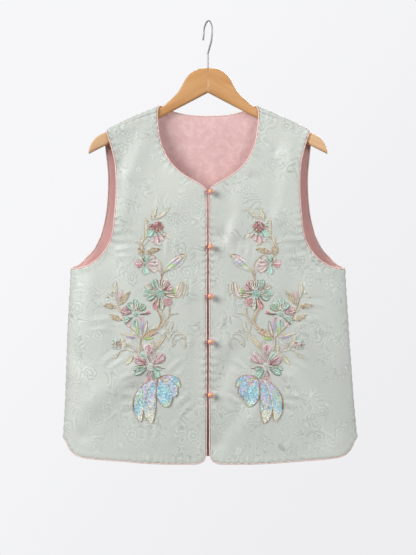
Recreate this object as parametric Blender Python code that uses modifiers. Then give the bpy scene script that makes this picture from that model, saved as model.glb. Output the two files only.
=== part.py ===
"""A sleeveless silk waistcoat, lined and piped, hanging on a contoured wooden hanger.

Run with: blender --background --python part.py
Metres, +Z up. The origin is the inside of the hook's crown, where a rail carries the hanger. The fronts face
-Y, and the wearer's left is +X.

The cloth is one smooth form, `cloth_point`, which is a flattened tube that closes over the hanger's arms at
the shoulders. Each panel is made of patches of it between cut edges, and each wall, lining and piping is made
from the panel's own points.
"""

import math

import bmesh
import bpy
import numpy as np
from mathutils import Matrix, Vector

MM = 0.001

# ---- driving sizes ---------------------------------------------------------------------------------------
SHELL = 1.2 * MM  # the silk with its interfacing
LINING = 1.0 * MM
SEAM_GAP = 0.3 * MM  # between pieces that are sewn to each other
SEAM_BACK = 0.27 * MM  # a panel's edge stands back this much from a shoulder or side seam
PIPING_R = 1.5 * MM
END_TRIM = 1.2 * MM  # the back neck's piping stops this short of the front's, which it meets at an angle
PANEL_GIRTH = 283 * MM  # middle of a panel to the side seam, along the cloth

NECK_X, NECK_Z = 94 * MM, -160.3 * MM  # where the neckline crosses the shoulder's ridge
SHOULDER_X, SHOULDER_Z = 190.5 * MM, -206.6 * MM  # where the armhole crosses it
SHOULDER_CROWN = 2.5 * MM  # the ridge rises this much above straight between them
SEAM_AHEAD_NECK, SEAM_AHEAD_ARM = 17 * MM, 10 * MM  # the shoulder seam lies in front of the ridge
UNDERARM_Z = -467.6 * MM
VENT_TOP = -778 * MM
VENT_NOTCH, VENT_NOTCH_DROP = 3.8 * MM, 2.5 * MM  # each side of the vent stands back for its piping
NECK_EDGE_X, ARM_EDGE_X = 97 * MM, 187.2 * MM  # the cut edges' ends at the shoulder seam, inside the piping
SIDE_SEAM = PANEL_GIRTH - SEAM_BACK
VENT = ((PANEL_GIRTH - VENT_NOTCH, VENT_TOP - VENT_NOTCH_DROP), (SIDE_SEAM, VENT_TOP))

WOOD_HALF = 5.5 * MM  # half the thickness of the hanger's arms
WOOD_CENTRE_HALF = 6.8 * MM
WOOD_CENTRE_REACH = 50 * MM  # the thicker middle runs out this far
WOOD_CLEARANCE = 1.0 * MM
ROLL = WOOD_HALF + WOOD_CLEARANCE + LINING + SEAM_GAP + SHELL  # radius of the cloth's outer face over the arm
ARM_SWEEP, ARM_REACH, ARM_CURVE = 30 * MM, 222.3 * MM, 1.7  # the arms curve forward, most at their tips
HANG = 200 * MM  # the cloth takes its body's shape this far below the arms
FOLD_RISE = HANG / 3  # and the folds reach their full height this far below

# The body of the waistcoat by height: half its width, how far its sides have swung to the wearer's left, the
# side seam's depth, and how far the fronts and the back stand out from the side seams.
BODY = np.array(
    (
        # height, half width, swing, side depth, front bulge, back bulge
        (-160, 257.5, 0.0, -6, 28, 22),
        (-300, 257.5, 0.0, -7, 31, 25),
        (-464, 258.0, 0.0, -8, 34, 27),
        (-500, 260.0, 0.0, -8, 35, 28),
        (-590, 265.2, 0.5, -8, 37, 30),
        (-700, 270.8, 2.5, -8, 39, 33),
        (-780, 276.4, 4.0, -8, 40, 35),
        (-840, 278.0, 4.8, -8, 41, 36),
    )
)
SECTION_ASPECT = 0.13
SECTION_SQUARENESS = 0.5  # 1 is an ellipse, less is flatter in front

# Cut edges in the front view, for the wearer's left half: x, z in millimetres.
FRONT_NECKLINE = (
    (96.0, -193.5),
    (91.3, -225.5),
    (80.3, -253.6),
    (65.8, -274.7),
    (43.1, -293.8),
    (18.5, -307.8),
)
NECK_CORNER = ((18.5, -307.8), (8.6, -315.5), (4.6, -322.0))
FRONT_TOP_Z = -328.0
FRONT_CORNER_Z = -808.5
FRONT_ARMHOLE = (
    (178.6, -236.5),
    (171.6, -266.0),
    (169.4, -292.5),
    (169.3, -328.0),
    (172.4, -367.8),
    (175.4, -396.5),
    (179.8, -414.2),
)
FRONT_UNDERARM = ((179.8, -414.2), (190.0, -432.2), (205.3, -449.0), (223.5, -460.8), (241.0, -466.2))
FRONT_HEM = (
    (7.6, -817.0),
    (12.6, -822.0),
    (22.0, -825.0),
    (40.0, -825.4),
    (79.0, -825.2),
    (118.0, -823.6),
    (155.0, -820.9),
    (197.0, -818.2),
    (232.0, -815.4),
    (248.0, -811.8),
    (258.5, -805.0),
    (265.5, -795.5),
    (270.0, -787.0),
)
BACK_NECKLINE = ((0.0, -179.0), (35.0, -177.0), (62.0, -172.0), (82.0, -165.5))
BACK_NECK_RISE = ((82.0, -165.5), (90.0, -158.0), (95.0, -149.0))
BACK_ARMHOLE_RISE = ((189.0, -217.0), (190.5, -230.0))
BACK_ARMHOLE = (
    (190.5, -230.0),
    (188.5, -256.0),
    (186.0, -290.0),
    (187.0, -326.0),
    (191.6, -366.5),
    (200.8, -403.2),
)
BACK_UNDERARM = ((200.8, -403.2), (214.0, -429.0), (229.5, -446.5), (243.5, -460.0))
BACK_HEM = (
    (0.0, -819.0),
    (80.0, -818.8),
    (155.0, -817.5),
    (197.0, -815.5),
    (232.0, -812.5),
    (248.0, -809.2),
    (258.5, -803.0),
    (265.5, -794.0),
    (270.0, -786.5),
)

# Half the gap between the two pipings down the front, by height.
FRONT_GAP = np.array(
    (
        # height, half gap
        (-320, 0.3),
        (-425, 0.9),
        (-517, 1.2),
        (-560, 1.8),
        (-601, 1.5),
        (-650, 1.3),
        (-699, 1.2),
        (-760, 2.6),
        (-830, 2.8),
    )
)

# The largest folds. Each is a soft ridge along a straight line, or a trough where its height is negative.
FOLDS = (
    # side, x and z of the upper end, x and z of the lower end, half width, height
    ("front", -112, -190, -150, -290, 15, 3.0),
    ("front", -152, -215, -165, -270, 10, -2.5),
    ("front", -186, -425, -240, -640, 26, -6.0),
    ("front", -128, -655, -214, -716, 22, 5.0),
    ("front", -140, -690, -232, -775, 16, -3.5),
    ("front", -212, -690, -262, -640, 20, 3.0),
    ("front", 104, -210, 122, -245, 9, -3.0),
    ("front", 90, -240, 46, -400, 15, 4.5),
    ("front", 78, -300, 28, -405, 13, -4.5),
    ("front", 158, -225, 134, -370, 18, 4.0),
    ("front", 176, -435, 150, -520, 18, -4.0),
    ("front", 46, -620, 16, -690, 16, -3.0),
    ("front", 72, -715, 18, -790, 15, -4.0),
    ("front", 160, -620, 222, -770, 26, -4.5),
    ("back", -150, -240, -96, -420, 20, 4.0),
    ("back", 148, -235, 90, -400, 18, 3.5),
    ("back", -60, -430, -84, -760, 26, -4.5),
    ("back", 52, -470, 96, -790, 30, -5.0),
    ("back", 186, -460, 206, -700, 24, 3.5),
    ("back", -196, -440, -214, -640, 22, 3.0),
    ("back", 4, -215, -6, -400, 34, -3.0),
)

# Rows and columns of the panels. The strap is what lies between the neck or the front edge and the armhole,
# and the side is what lies under the armhole. A table gives a share, and the number of steps up to the next
# share. A narrow step at a seam squares the cloth's edge to it.
FRONT_STRAP_COLUMNS = ((0.0, 2), (0.1, 7), (1.0, 0))
FRONT_NECK_ROWS = ((0.0, 1), (0.006, 8), (1.0, 0))
FRONT_CHEST_ROWS = 4
BACK_ROLL_ROWS = ((0.0, 1), (0.035, 6), (1.0, 0))
BACK_NECK_COLUMNS, BACK_STRAP_COLUMNS, BACK_STRAP_ROWS = 4, 5, 8
BODY_ROWS = 10
FRONT_NECK_SHARE = 0.68  # of the front's armhole, beside the neckline
SIDE_COLUMNS = ((0.0, 2), (0.38, 3), (0.74, 3), (0.99, 1), (1.0, 0))
STRAP_SHARE = 0.62  # of the hem
FRONT_SPLIT_Z, BACK_SPLIT_Z = -428 * MM, -420 * MM  # where the strap ends at the middle

# The hanger and its hook.
ARM_TOP = (
    # x, z of the arm's upper edge where the cloth doesn't cover it
    (0.0, -87.0),
    (15.6, -88.2),
    (24.9, -92.0),
    (35.7, -99.8),
    (43.5, -110.5),
    (55.0, -131.0),
    (66.8, -144.0),
    (84.0, -159.6),
)
ARM_TIP = ((205.0, -218.0), (214.0, -227.0), (220.0, -238.0), (222.3, -247.0))
ARM_BOTTOM_Z, ARM_BOTTOM_SLOPE = -133.7 * MM, -0.532
ARM_STATIONS = (0, 10, 20, 28, 35, 42, 49, 57, 68, 82, 91, 100, 130, 160, 188, 200, 210, 217, 221, 222.3)
RING_POINTS = 10
WIRE_R = 1.6 * MM
STEM_DEPTH, BORE_SIDES = 24 * MM, 16  # how far the hook's stem goes into the wood
HOOK_R = 19.4 * MM + WIRE_R  # to the wire's middle, so that a 22 mm rail has room
HOOK_TURN = math.radians(22)  # the hook's plane is turned from square to the hanger
HOOK_POINTS = 15
HOOK_NECK = (
    # forward of the stem, height: the wire from the stem to the bend
    (0.0, -68.0),
    (0.0, -62.0),
    (1.0, -58.5),
    (8.0, -49.5),
    (15.5, -40.5),
    (19.8, -30.0),
)
HOOK_TIP = ((23.0, -26.0), (25.5, -31.0))

# The buttons: ball beads with five petals round a heart, each on a thread shank through a cord loop.
BUTTON_HEIGHTS = (-323, -425, -517, -601, -699)
BUTTON_X = 5.4 * MM
BEAD_R, BEAD_STAND = 5.7 * MM, 8.1 * MM  # the bead's middle stands this far off the cloth
BEAD_RINGS = ((-52, 0.0), (-18, 0.05), (18, 0.1), (48, 0.1))  # turn from the bead's girdle, petal depth
PETALS, PETAL_POINTS = 5, 3
SHANK_R, SHANK_STAND = 1.2 * MM, 0.6 * MM
HEART_R = 2.2 * MM
HEART_RINGS = ((1.0, 0.0), (0.8, 0.5), (0.3, 0.7))  # share of its radius, how far forward in the same
LOOP_R, LOOP_STAND = 0.8 * MM, 1.9 * MM
LOOP_START_X = -6.5 * MM
LOOP_TURNS = (60, 20, -20, -60)

COLOURS = {
    # base colour, roughness, metallic
    "silk": ((0.62, 0.68, 0.63), 0.45, 0.0),
    "lining": ((0.74, 0.42, 0.42), 0.55, 0.0),
    "piping": ((0.83, 0.52, 0.47), 0.5, 0.0),
    "wood": ((0.72, 0.44, 0.21), 0.45, 0.0),
    "steel": ((0.62, 0.61, 0.60), 0.25, 1.0),
    "bead": ((0.85, 0.38, 0.36), 0.3, 0.0),
    "heart": ((0.93, 0.58, 0.12), 0.35, 0.0),
}


# ---- the cloth's form ------------------------------------------------------------------------------------
def section_table(samples=600):
    """A quarter of the tube's outline: share of its length, share of the half width, share of the bulge."""
    angle = np.linspace(0, 1, samples) ** 2 * math.pi / 2
    across, bulge = np.sin(angle) ** SECTION_SQUARENESS, np.cos(angle)
    steps = np.hypot(np.diff(across), SECTION_ASPECT * np.diff(bulge))
    run = np.concatenate(((0,), np.cumsum(steps)))
    return run / run[-1], across, bulge


SECTION_RUN, SECTION_ACROSS, SECTION_BULGE = section_table()


def ease(t):
    """0 to 1, level at both ends."""
    t = min(max(t, 0.0), 1.0)
    return t * t * (3 - 2 * t)


def body_at(z):
    """Half width, swing, side depth, front bulge and back bulge at a height."""
    heights = BODY[::-1, 0] * MM
    return [float(np.interp(z, heights, BODY[::-1, k] * MM)) for k in range(1, BODY.shape[1])]


def ridge_z(x):
    """Height of the cloth's outer face over the hanger's arm."""
    share = (abs(x) - NECK_X) / (SHOULDER_X - NECK_X)
    along = min(max(share, 0.0), 1.0)
    return NECK_Z + (SHOULDER_Z - NECK_Z) * share + 4 * SHOULDER_CROWN * along * (1 - along)


def arm_y(x):
    """Depth of the hanger's arm, which curves forward."""
    return -ARM_SWEEP * (abs(x) / ARM_REACH) ** ARM_CURVE


def fold_height(side, x, z):
    """How far the folds lift the cloth outwards at a place, in the front view."""
    lift = 0.0
    for panel, x0, z0, x1, z1, half_width, height in FOLDS:
        if panel != side:
            continue
        start, run = Vector((x0, z0)) * MM, Vector((x1 - x0, z1 - z0)) * MM
        place = Vector((x, z))
        share = min(max((place - start).dot(run) / run.length_squared, 0.0), 1.0)
        away = (place - start - share * run).length / (half_width * MM)
        lift += height * MM * math.exp(-away * away)
    return lift


def body_y(side, share, x, z):
    """Depth of the hanging cloth's outer face: the arm's curve at the shoulders, the body's bulge below."""
    _, _, side_y, front, back = body_at(z)
    bulge = float(np.interp(abs(share), SECTION_RUN, SECTION_BULGE))
    drop = ridge_z(x) - ROLL - z
    below = ease(drop / HANG)
    lift = fold_height("front" if side < 0 else "back", x, z) * bulge * ease(drop / FOLD_RISE)
    hung = side_y + side * (front if side < 0 else back) * bulge
    return (1 - below) * (arm_y(x) + side * ROLL) + below * hung + side * lift


def cloth_point(side, girth, level):
    """A point of the cloth's outer face.

    side is -1 for the fronts and 1 for the back. girth runs along the cloth from the middle to the side seam
    at PANEL_GIRTH. level is a height, and from the top of the arm's straight side it runs on over the roll.
    """
    share = girth / PANEL_GIRTH
    half_width, swing = body_at(level)[:2]
    across = float(np.interp(abs(share), SECTION_RUN, SECTION_ACROSS))
    x = math.copysign(half_width * across, girth) + swing * across
    top = ridge_z(x) - ROLL
    over = level - top
    if over <= 0:
        return Vector((x, body_y(side, share, x, level), level))
    if over < math.pi * ROLL:
        turn = over / ROLL
        return Vector((x, arm_y(x) + side * ROLL * math.cos(turn), top + ROLL * math.sin(turn)))
    z = top - (over - math.pi * ROLL)
    return Vector((x, body_y(-side, share, x, z), z))


def cloth_normal(side, girth, level):
    """The outward direction there."""
    near = 0.05 * MM
    inner = math.copysign(max(abs(girth) - near, 0), girth)
    outer = math.copysign(min(abs(girth) + near, PANEL_GIRTH), girth)
    across = (cloth_point(side, outer, level) - cloth_point(side, inner, level)) * math.copysign(1, girth)
    up = cloth_point(side, girth, level + near) - cloth_point(side, girth, level - near)
    return side * up.cross(across).normalized()


# ---- cut edges and panels --------------------------------------------------------------------------------
def girth_of(x, z):
    """How far along the cloth a place in the front view lies from the middle."""
    share = abs(x) / body_at(z)[0]
    return PANEL_GIRTH * float(np.interp(share, SECTION_ACROSS, SECTION_RUN))


def laid_flat(keys):
    """Front view places in millimetres as (girth, level)."""
    return [(girth_of(x * MM, z * MM), z * MM) for x, z in keys]


def smooth_line(keys, steps=16):
    """A smooth line through the keys (Catmull-Rom), as many short steps."""
    keys = np.array(keys, float)
    padded = np.vstack((2 * keys[0] - keys[1], keys, 2 * keys[-1] - keys[-2]))
    points = []
    for a, b, c, d in zip(padded, padded[1:], padded[2:], padded[3:]):
        for t in np.arange(steps) / steps:
            square, cube = 2 * a - 5 * b + 4 * c - d, 3 * b - a - 3 * c + d
            points.append(0.5 * (2 * b + (c - a) * t + square * t**2 + cube * t**3))
    return np.array([*points, keys[-1]])


def walk(line, shares):
    """The points at these shares of the line's length."""
    run = np.concatenate(((0,), np.cumsum(np.linalg.norm(np.diff(line, axis=0), axis=1))))
    return np.stack([np.interp(shares, run / run[-1], line[:, k]) for k in range(2)], axis=1)


def graded(breaks):
    """Shares that run evenly between breaks, each given with its number of steps."""
    shares = [
        np.linspace(start, end, steps, endpoint=False)
        for (start, steps), (end, _) in zip(breaks, breaks[1:])
    ]
    return np.concatenate((*shares, (breaks[-1][0],)))


def straight(start, end, shares):
    """The points at these shares of a straight line."""
    return np.array(start) + (np.array(end) - start) * np.array(shares)[:, None]


def patch(grid, first, columns, rows, top, bottom, inner, outer):
    """Fill the grid from the place (row, column) first: a Coons patch of (girth, level), in four edges."""
    u, v = columns[None, :, None], rows[:, None, None]
    across = (1 - u) * inner[:, None] + u * outer[:, None]
    down = (1 - v) * top[None] + v * bottom[None]
    corners = (
        (1 - u) * (1 - v) * top[0] + u * (1 - v) * top[-1] + (1 - u) * v * bottom[0] + u * v * bottom[-1]
    )
    filled = across + down - corners
    for i in range(len(rows)):
        for j in range(len(columns)):
            grid[first[0] + i, first[1] + j] = tuple(filled[i, j])


def seam_level(side, x):
    """The level of a panel's edge along the shoulder seam."""
    share = (abs(x) - NECK_X) / (SHOULDER_X - NECK_X)
    ahead = SEAM_AHEAD_NECK + (SEAM_AHEAD_ARM - SEAM_AHEAD_NECK) * share
    return ridge_z(x) - ROLL + math.pi / 2 * ROLL + side * ahead - SEAM_BACK


def shoulder_line(side, steps=8):
    """The shoulder seam from the neck out to the armhole."""
    xs = np.linspace(NECK_EDGE_X, ARM_EDGE_X, steps + 1)
    return np.array([(girth_of(x, SHOULDER_Z), seam_level(side, x)) for x in xs])


def two_part(share, first, second):
    """Shares of a whole whose first part, which ends at share, and second part have their own."""
    return np.concatenate((share * first, share + (1 - share) * second[1:]))


SIDE_SHARES = graded(SIDE_COLUMNS)
BODY_SHARES = np.linspace(0, 1, BODY_ROWS + 1)


def body_patch(grid, split, centre, underarm, hem, row, strap_columns):
    """The panel below the armhole: the strap's columns run on down, and the side's columns begin."""
    columns = two_part(STRAP_SHARE, strap_columns, SIDE_SHARES)
    patch(
        grid,
        (row, 0),
        columns,
        BODY_SHARES,
        np.vstack((split, walk(underarm, SIDE_SHARES)[1:])),
        walk(hem, columns),
        walk(centre, BODY_SHARES),
        straight(tuple(underarm[-1]), (SIDE_SEAM, VENT_TOP), BODY_SHARES),
    )


def armhole_places(rows, columns):
    """From the shoulder down the strap's edge and out to the side seam, without the narrow row and column."""
    side = columns + len(SIDE_SHARES) - 1
    down = [(i, columns) for i in range(rows + 1) if i != 1]
    return down + [(rows, j) for j in range(columns + 1, side + 1) if j != side - 1]


def front_edge_mm(z):
    """x of the cut edge down the front, in millimetres: the piping and half the gap lie inside it."""
    half_gap = float(np.interp(z, FRONT_GAP[::-1, 0], FRONT_GAP[::-1, 1]))
    return (2 * PIPING_R + SEAM_GAP) / MM + half_gap


def front_edge(upper, lower, steps=15):
    """The straight run of the front edge between two heights in millimetres."""
    return np.array(laid_flat([(front_edge_mm(z), z) for z in np.linspace(upper, lower, steps + 1)]))


def front_grid():
    """The left front, as (row, column): (girth, level), and the places along its piped edges."""
    grid = {}
    split_mm = FRONT_SPLIT_Z / MM
    columns = graded(FRONT_STRAP_COLUMNS)
    shoulder = shoulder_line(-1)
    corner = (*NECK_CORNER, (front_edge_mm(FRONT_TOP_Z), FRONT_TOP_Z))
    neck = np.vstack(
        (smooth_line([tuple(shoulder[0]), *laid_flat(FRONT_NECKLINE)]), smooth_line(laid_flat(corner))[1:])
    )
    neck_rows, chest_rows = graded(FRONT_NECK_ROWS), np.linspace(0, 1, FRONT_CHEST_ROWS + 1)
    inner = np.vstack((walk(neck, neck_rows), walk(front_edge(FRONT_TOP_Z, split_mm), chest_rows)[1:]))
    armhole = smooth_line([tuple(shoulder[-1]), *laid_flat(FRONT_ARMHOLE)])
    rows = two_part(FRONT_NECK_SHARE, neck_rows, chest_rows)
    split = straight(inner[-1], armhole[-1], columns)
    patch(grid, (0, 0), columns, rows, walk(shoulder, columns), split, inner, walk(armhole, rows))
    underarm = smooth_line([*laid_flat(FRONT_UNDERARM), (SIDE_SEAM, UNDERARM_Z)])
    centre = front_edge(split_mm, FRONT_CORNER_Z)
    hem = smooth_line([tuple(centre[-1]), *laid_flat(FRONT_HEM), *VENT])
    foot, strap = len(rows) - 1, len(columns) - 1
    body_patch(grid, split, centre, underarm, hem, foot, columns)
    last, side = foot + BODY_ROWS, strap + len(SIDE_SHARES) - 1
    down = [(i, 0) for i in range(last + 1) if i != 1]
    return grid, {
        "front": down + [(last, j) for j in range(1, side - 1)],
        "armhole": armhole_places(foot, strap),
    }


def back_grid():
    """The left half of the back, and its edges. Its strap rolls over the shoulder on rows of its own."""
    grid = {}
    neck_share = BACK_NECK_COLUMNS / (BACK_NECK_COLUMNS + BACK_STRAP_COLUMNS)
    strap = np.linspace(0, 1, BACK_STRAP_COLUMNS + 1)
    columns = np.linspace(0, 1, BACK_NECK_COLUMNS + BACK_STRAP_COLUMNS + 1)
    roll, rows = graded(BACK_ROLL_ROWS), np.linspace(0, 1, BACK_STRAP_ROWS + 1)
    shoulder = shoulder_line(1)
    neck_rise = smooth_line([*laid_flat(BACK_NECK_RISE), tuple(shoulder[0])])[::-1]
    arm_rise = smooth_line([tuple(shoulder[-1]), *laid_flat(BACK_ARMHOLE_RISE)])
    fold = straight(neck_rise[-1], arm_rise[-1], strap)
    patch(
        grid,
        (0, BACK_NECK_COLUMNS),
        strap,
        roll,
        walk(shoulder, strap),
        fold,
        walk(neck_rise, roll),
        walk(arm_rise, roll),
    )
    neckline = walk(smooth_line(laid_flat(BACK_NECKLINE)), columns[columns <= neck_share] / neck_share)
    armhole = smooth_line(laid_flat(BACK_ARMHOLE))
    middle = laid_flat((BACK_NECKLINE[0], (0, BACK_SPLIT_Z / MM), BACK_HEM[0]))
    split = straight(middle[1], armhole[-1], columns)
    patch(
        grid,
        (len(roll) - 1, 0),
        columns,
        rows,
        np.vstack((neckline, fold[1:])),
        split,
        straight(middle[0], middle[1], rows),
        walk(armhole, rows),
    )
    underarm = smooth_line([*laid_flat(BACK_UNDERARM), (SIDE_SEAM, UNDERARM_Z)])
    hem = smooth_line([*laid_flat(BACK_HEM), *VENT])
    centre = np.array(middle[1:])
    turn, foot, strap = len(roll) - 1, len(roll) - 1 + BACK_STRAP_ROWS, len(columns) - 1
    body_patch(grid, split, centre, underarm, hem, foot, columns)
    last, side = foot + BODY_ROWS, strap + len(SIDE_SHARES) - 1
    rise = [(i, BACK_NECK_COLUMNS) for i in range(turn) if i != 1]
    return grid, {
        "neck": rise + [(turn, j) for j in range(BACK_NECK_COLUMNS, -1, -1)],
        "hem": [(last, j) for j in range(side - 1)],
        "armhole": armhole_places(foot, strap),
    }


def mirrored(grid):
    """The other half of a grid."""
    return {(i, -j): (-girth, level) for (i, j), (girth, level) in grid.items()}


def across(places):
    """The same places on the other half."""
    return [(i, -j) for i, j in places]


class Panel:
    """A cut panel: its outer points and their outward directions at each (row, column)."""

    def __init__(self, side, grid):
        self.points = {place: cloth_point(side, *flat) for place, flat in grid.items()}
        self.normals = {place: cloth_normal(side, *flat) for place, flat in grid.items()}
        self.middle = sum(self.points.values(), Vector()) / len(self.points)

    def layer(self, depth):
        """Its points moved inwards by a depth."""
        return {place: point - self.normals[place] * depth for place, point in self.points.items()}

    def edge(self, places):
        """The piping's path along these places: outside the cut edge, at the middle of the cloth."""
        layer = self.layer((SHELL + SEAM_GAP + LINING) / 2)
        path = [layer[place] for place in places]
        runs = [(b - a).normalized() for a, b in zip(path, path[1:])]
        tangents = [runs[0], *[a + b for a, b in zip(runs, runs[1:])], runs[-1]]
        outward = [t.cross(self.normals[place]).normalized() for t, place in zip(tangents, places)]
        inwards = sum(out.dot(self.middle - point) for out, point in zip(outward, path))
        reach = math.copysign(PIPING_R + SEAM_GAP, -inwards)
        return [point + out * reach for point, out in zip(path, outward)]


# ---- solids ----------------------------------------------------------------------------------------------
def clear_scene():
    for obj in list(bpy.data.objects):
        bpy.data.objects.remove(obj, do_unlink=True)


def collection(name):
    made = bpy.data.collections.new(name)
    bpy.context.scene.collection.children.link(made)
    return made


def material(name):
    found = bpy.data.materials.get(name)
    if found:
        return found
    colour, roughness, metallic = COLOURS[name]
    made = bpy.data.materials.new(name)
    made.use_nodes = True
    shader = made.node_tree.nodes["Principled BSDF"]
    shader.inputs["Base Color"].default_value = (*colour, 1)
    shader.inputs["Roughness"].default_value = roughness
    shader.inputs["Metallic"].default_value = metallic
    made.diffuse_color = (*colour, 1)
    return made


def add_object(name, data, slot, group):
    data.materials.append(material(slot))
    made = bpy.data.objects.new(name, data)
    group.objects.link(made)
    return made


def closed_mesh(name, points, faces):
    mesh = bpy.data.meshes.new(name)
    mesh.from_pydata([tuple(p) for p in points], [], faces)
    shape = bmesh.new()
    shape.from_mesh(mesh)
    bmesh.ops.recalc_face_normals(shape, faces=shape.faces)
    shape.to_mesh(mesh)
    shape.free()
    mesh.shade_smooth()
    mesh.set_sharp_from_angle(angle=math.radians(50))
    return mesh


def wall(name, panel, depth, thickness, slot, group):
    """A panel's cloth, from a depth inwards. The layers share their diagonals, so they stay parallel."""
    layer = panel.layer(depth)
    places = list(layer)
    index = {place: number for number, place in enumerate(places)}
    faces = []
    for i, j in places:
        corners = [(i, j), (i, j + 1), (i + 1, j + 1), (i + 1, j)]
        if all(corner in index for corner in corners):
            a, b, c, d = (index[corner] for corner in corners)
            faces += [(a, b, c), (a, c, d)]
    mesh = bpy.data.meshes.new(name)
    mesh.from_pydata([tuple(point) for point in layer.values()], [], faces)
    first = places[faces[0][0]]
    if mesh.polygons[0].normal.dot(panel.normals[first]) < 0:
        mesh.flip_normals()
    mesh.shade_smooth()
    made = add_object(name, mesh, slot, group)
    thick = made.modifiers.new("cloth", "SOLIDIFY")
    thick.thickness = thickness
    thick.offset = -1
    return made


def loft(name, rings, slot, group):
    """A solid through rings of equally many points, closed at both ends."""
    count = len(rings[0])
    points = [p for ring in rings for p in ring]
    faces = [tuple(range(count)), tuple(range(len(points) - count, len(points)))]
    for i in range(len(rings) - 1):
        for j in range(count):
            a, b = i * count + j, i * count + (j + 1) % count
            faces.append((a, b, b + count, a + count))
    return add_object(name, closed_mesh(name, points, faces), slot, group)


def cord(name, path, radius, slot, group, closed=False, sides=6):
    """A round cord or wire along a path."""
    curve = bpy.data.curves.new(name, "CURVE")
    curve.dimensions = "3D"
    curve.bevel_depth = radius
    curve.bevel_resolution = (sides - 4) // 2
    curve.use_fill_caps = not closed
    spline = curve.splines.new("POLY")
    spline.points.add(len(path) - 1)
    for point, place in zip(spline.points, path):
        point.co = (*place, 1)
    spline.use_cyclic_u = closed
    return add_object(name, curve, slot, group)


# ---- the pieces ------------------------------------------------------------------------------------------
def waistcoat(group):
    """Shell, lining and piping."""
    (left, front_edges), (back_half, back_edges) = front_grid(), back_grid()
    panels = {
        "front_left": Panel(-1, left),
        "front_right": Panel(-1, mirrored(left)),
        "back": Panel(1, mirrored(back_half) | back_half),
    }
    for name, panel in panels.items():
        wall(name, panel, 0, SHELL, "silk", group)
        wall("lining_" + name, panel, SHELL + SEAM_GAP, LINING, "lining", group)
    back = panels["back"]
    for side, half in (("left", list), ("right", across)):
        front = panels["front_" + side]
        cord("piping_front_" + side, front.edge(half(front_edges["front"])), PIPING_R, "piping", group)
        ahead = front.edge(half(front_edges["armhole"]))
        behind = back.edge(half(back_edges["armhole"]))
        shoulder, underarm = [(ahead[k] + behind[k]) / 2 for k in (0, -1)]
        loop = [shoulder, *ahead[1:-1], underarm, *behind[-2:0:-1]]
        cord("piping_armhole_" + side, loop, PIPING_R, "piping", group, closed=True)
    neck, hem = back_edges["neck"], back_edges["hem"]
    neck_path = back.edge(neck + across(neck[-2::-1]))
    cord("piping_back_neck", shortened(neck_path, END_TRIM), PIPING_R, "piping", group)
    cord("piping_back_hem", back.edge(across(hem[:0:-1]) + hem), PIPING_R, "piping", group)


def shortened(path, amount):
    """The path with both ends drawn in."""
    first, last = (path[1] - path[0]).normalized(), (path[-2] - path[-1]).normalized()
    return [path[0] + first * amount, *path[1:-1], path[-1] + last * amount]


def petal_ring(centre, radius, y, lobes=0):
    """A ring of the bead, in a plane facing forward, with its petals."""
    count = PETAL_POINTS * PETALS
    ring = []
    for k in range(count):
        angle = 2 * math.pi * k / count
        reach = radius * (1 + lobes * math.cos(PETALS * angle))
        ring.append(Vector((centre.x + reach * math.cos(angle), y, centre.z + reach * math.sin(angle))))
    return ring


def buttons(group):
    """The beads on the left front, their hearts, and the loops of the right front."""
    for number, height in enumerate(BUTTON_HEIGHTS, 1):
        z = height * MM
        surface = cloth_point(-1, girth_of(BUTTON_X, z), z).y
        centre = Vector((BUTTON_X, surface - BEAD_STAND, z))
        neck = centre.y + math.sqrt(BEAD_R**2 - SHANK_R**2)
        rings = [petal_ring(centre, SHANK_R, y) for y in (surface - SHANK_STAND, neck)]
        for turn, lobes in BEAD_RINGS:
            tilt = math.radians(turn)
            y = centre.y - BEAD_R * math.sin(tilt)
            rings.append(petal_ring(centre, BEAD_R * math.cos(tilt), y, lobes))
        loft(f"button_{number}", rings, "bead", group)
        face = rings[-1][0].y - SEAM_GAP
        heart = [petal_ring(centre, HEART_R * wide, face - HEART_R * ahead) for wide, ahead in HEART_RINGS]
        loft(f"button_heart_{number}", heart, "heart", group)
        button_loop(number, z, group)


def button_loop(number, z, group):
    """A cord from the right front's edge round the button's shank and back."""
    reach = SHANK_R + SEAM_GAP + LOOP_R
    flat = [(x, reach) for x in (LOOP_START_X, 0, BUTTON_X)]
    for turn in LOOP_TURNS:
        angle = math.radians(turn)
        flat.append((BUTTON_X + reach * math.cos(angle), reach * math.sin(angle)))
    flat += [(x, -reach) for x in (BUTTON_X, 0, LOOP_START_X)]
    path = []
    for x, up in flat:
        surface = cloth_point(-1, math.copysign(girth_of(x, z), x), z).y
        path.append(Vector((x, surface - LOOP_STAND, z + up)))
    cord(f"button_loop_{number}", path, LOOP_R, "piping", group)


def arm_top(x):
    """Height of the wood's upper edge: by the hook, then the cloth's line at the shoulder, then the tip."""
    covered = (NECK_X, 0.5 * (NECK_X + SHOULDER_X), SHOULDER_X)
    under_cloth = [(at / MM, (ridge_z(at) - ROLL + WOOD_HALF) / MM) for at in covered]
    line = smooth_line((*ARM_TOP, *under_cloth, *ARM_TIP))
    return float(np.interp(x / MM, line[:, 0], line[:, 1])) * MM


def arm_ring(x, mirror):
    """A section of the hanger's arm, with a round upper edge."""
    top, bottom = arm_top(x), ARM_BOTTOM_Z + ARM_BOTTOM_SLOPE * x
    half = WOOD_HALF + (WOOD_CENTRE_HALF - WOOD_HALF) * (1 - ease(x / WOOD_CENTRE_REACH))
    half = min(half, 0.5 * (top - bottom))
    ring = []
    for k in range(RING_POINTS):
        angle = 2 * math.pi * (k + 0.5) / RING_POINTS
        centre = top - half if math.sin(angle) > 0 else bottom + half
        ring.append(Vector((mirror * x, arm_y(x) + half * math.cos(angle), centre + half * math.sin(angle))))
    return ring


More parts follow.
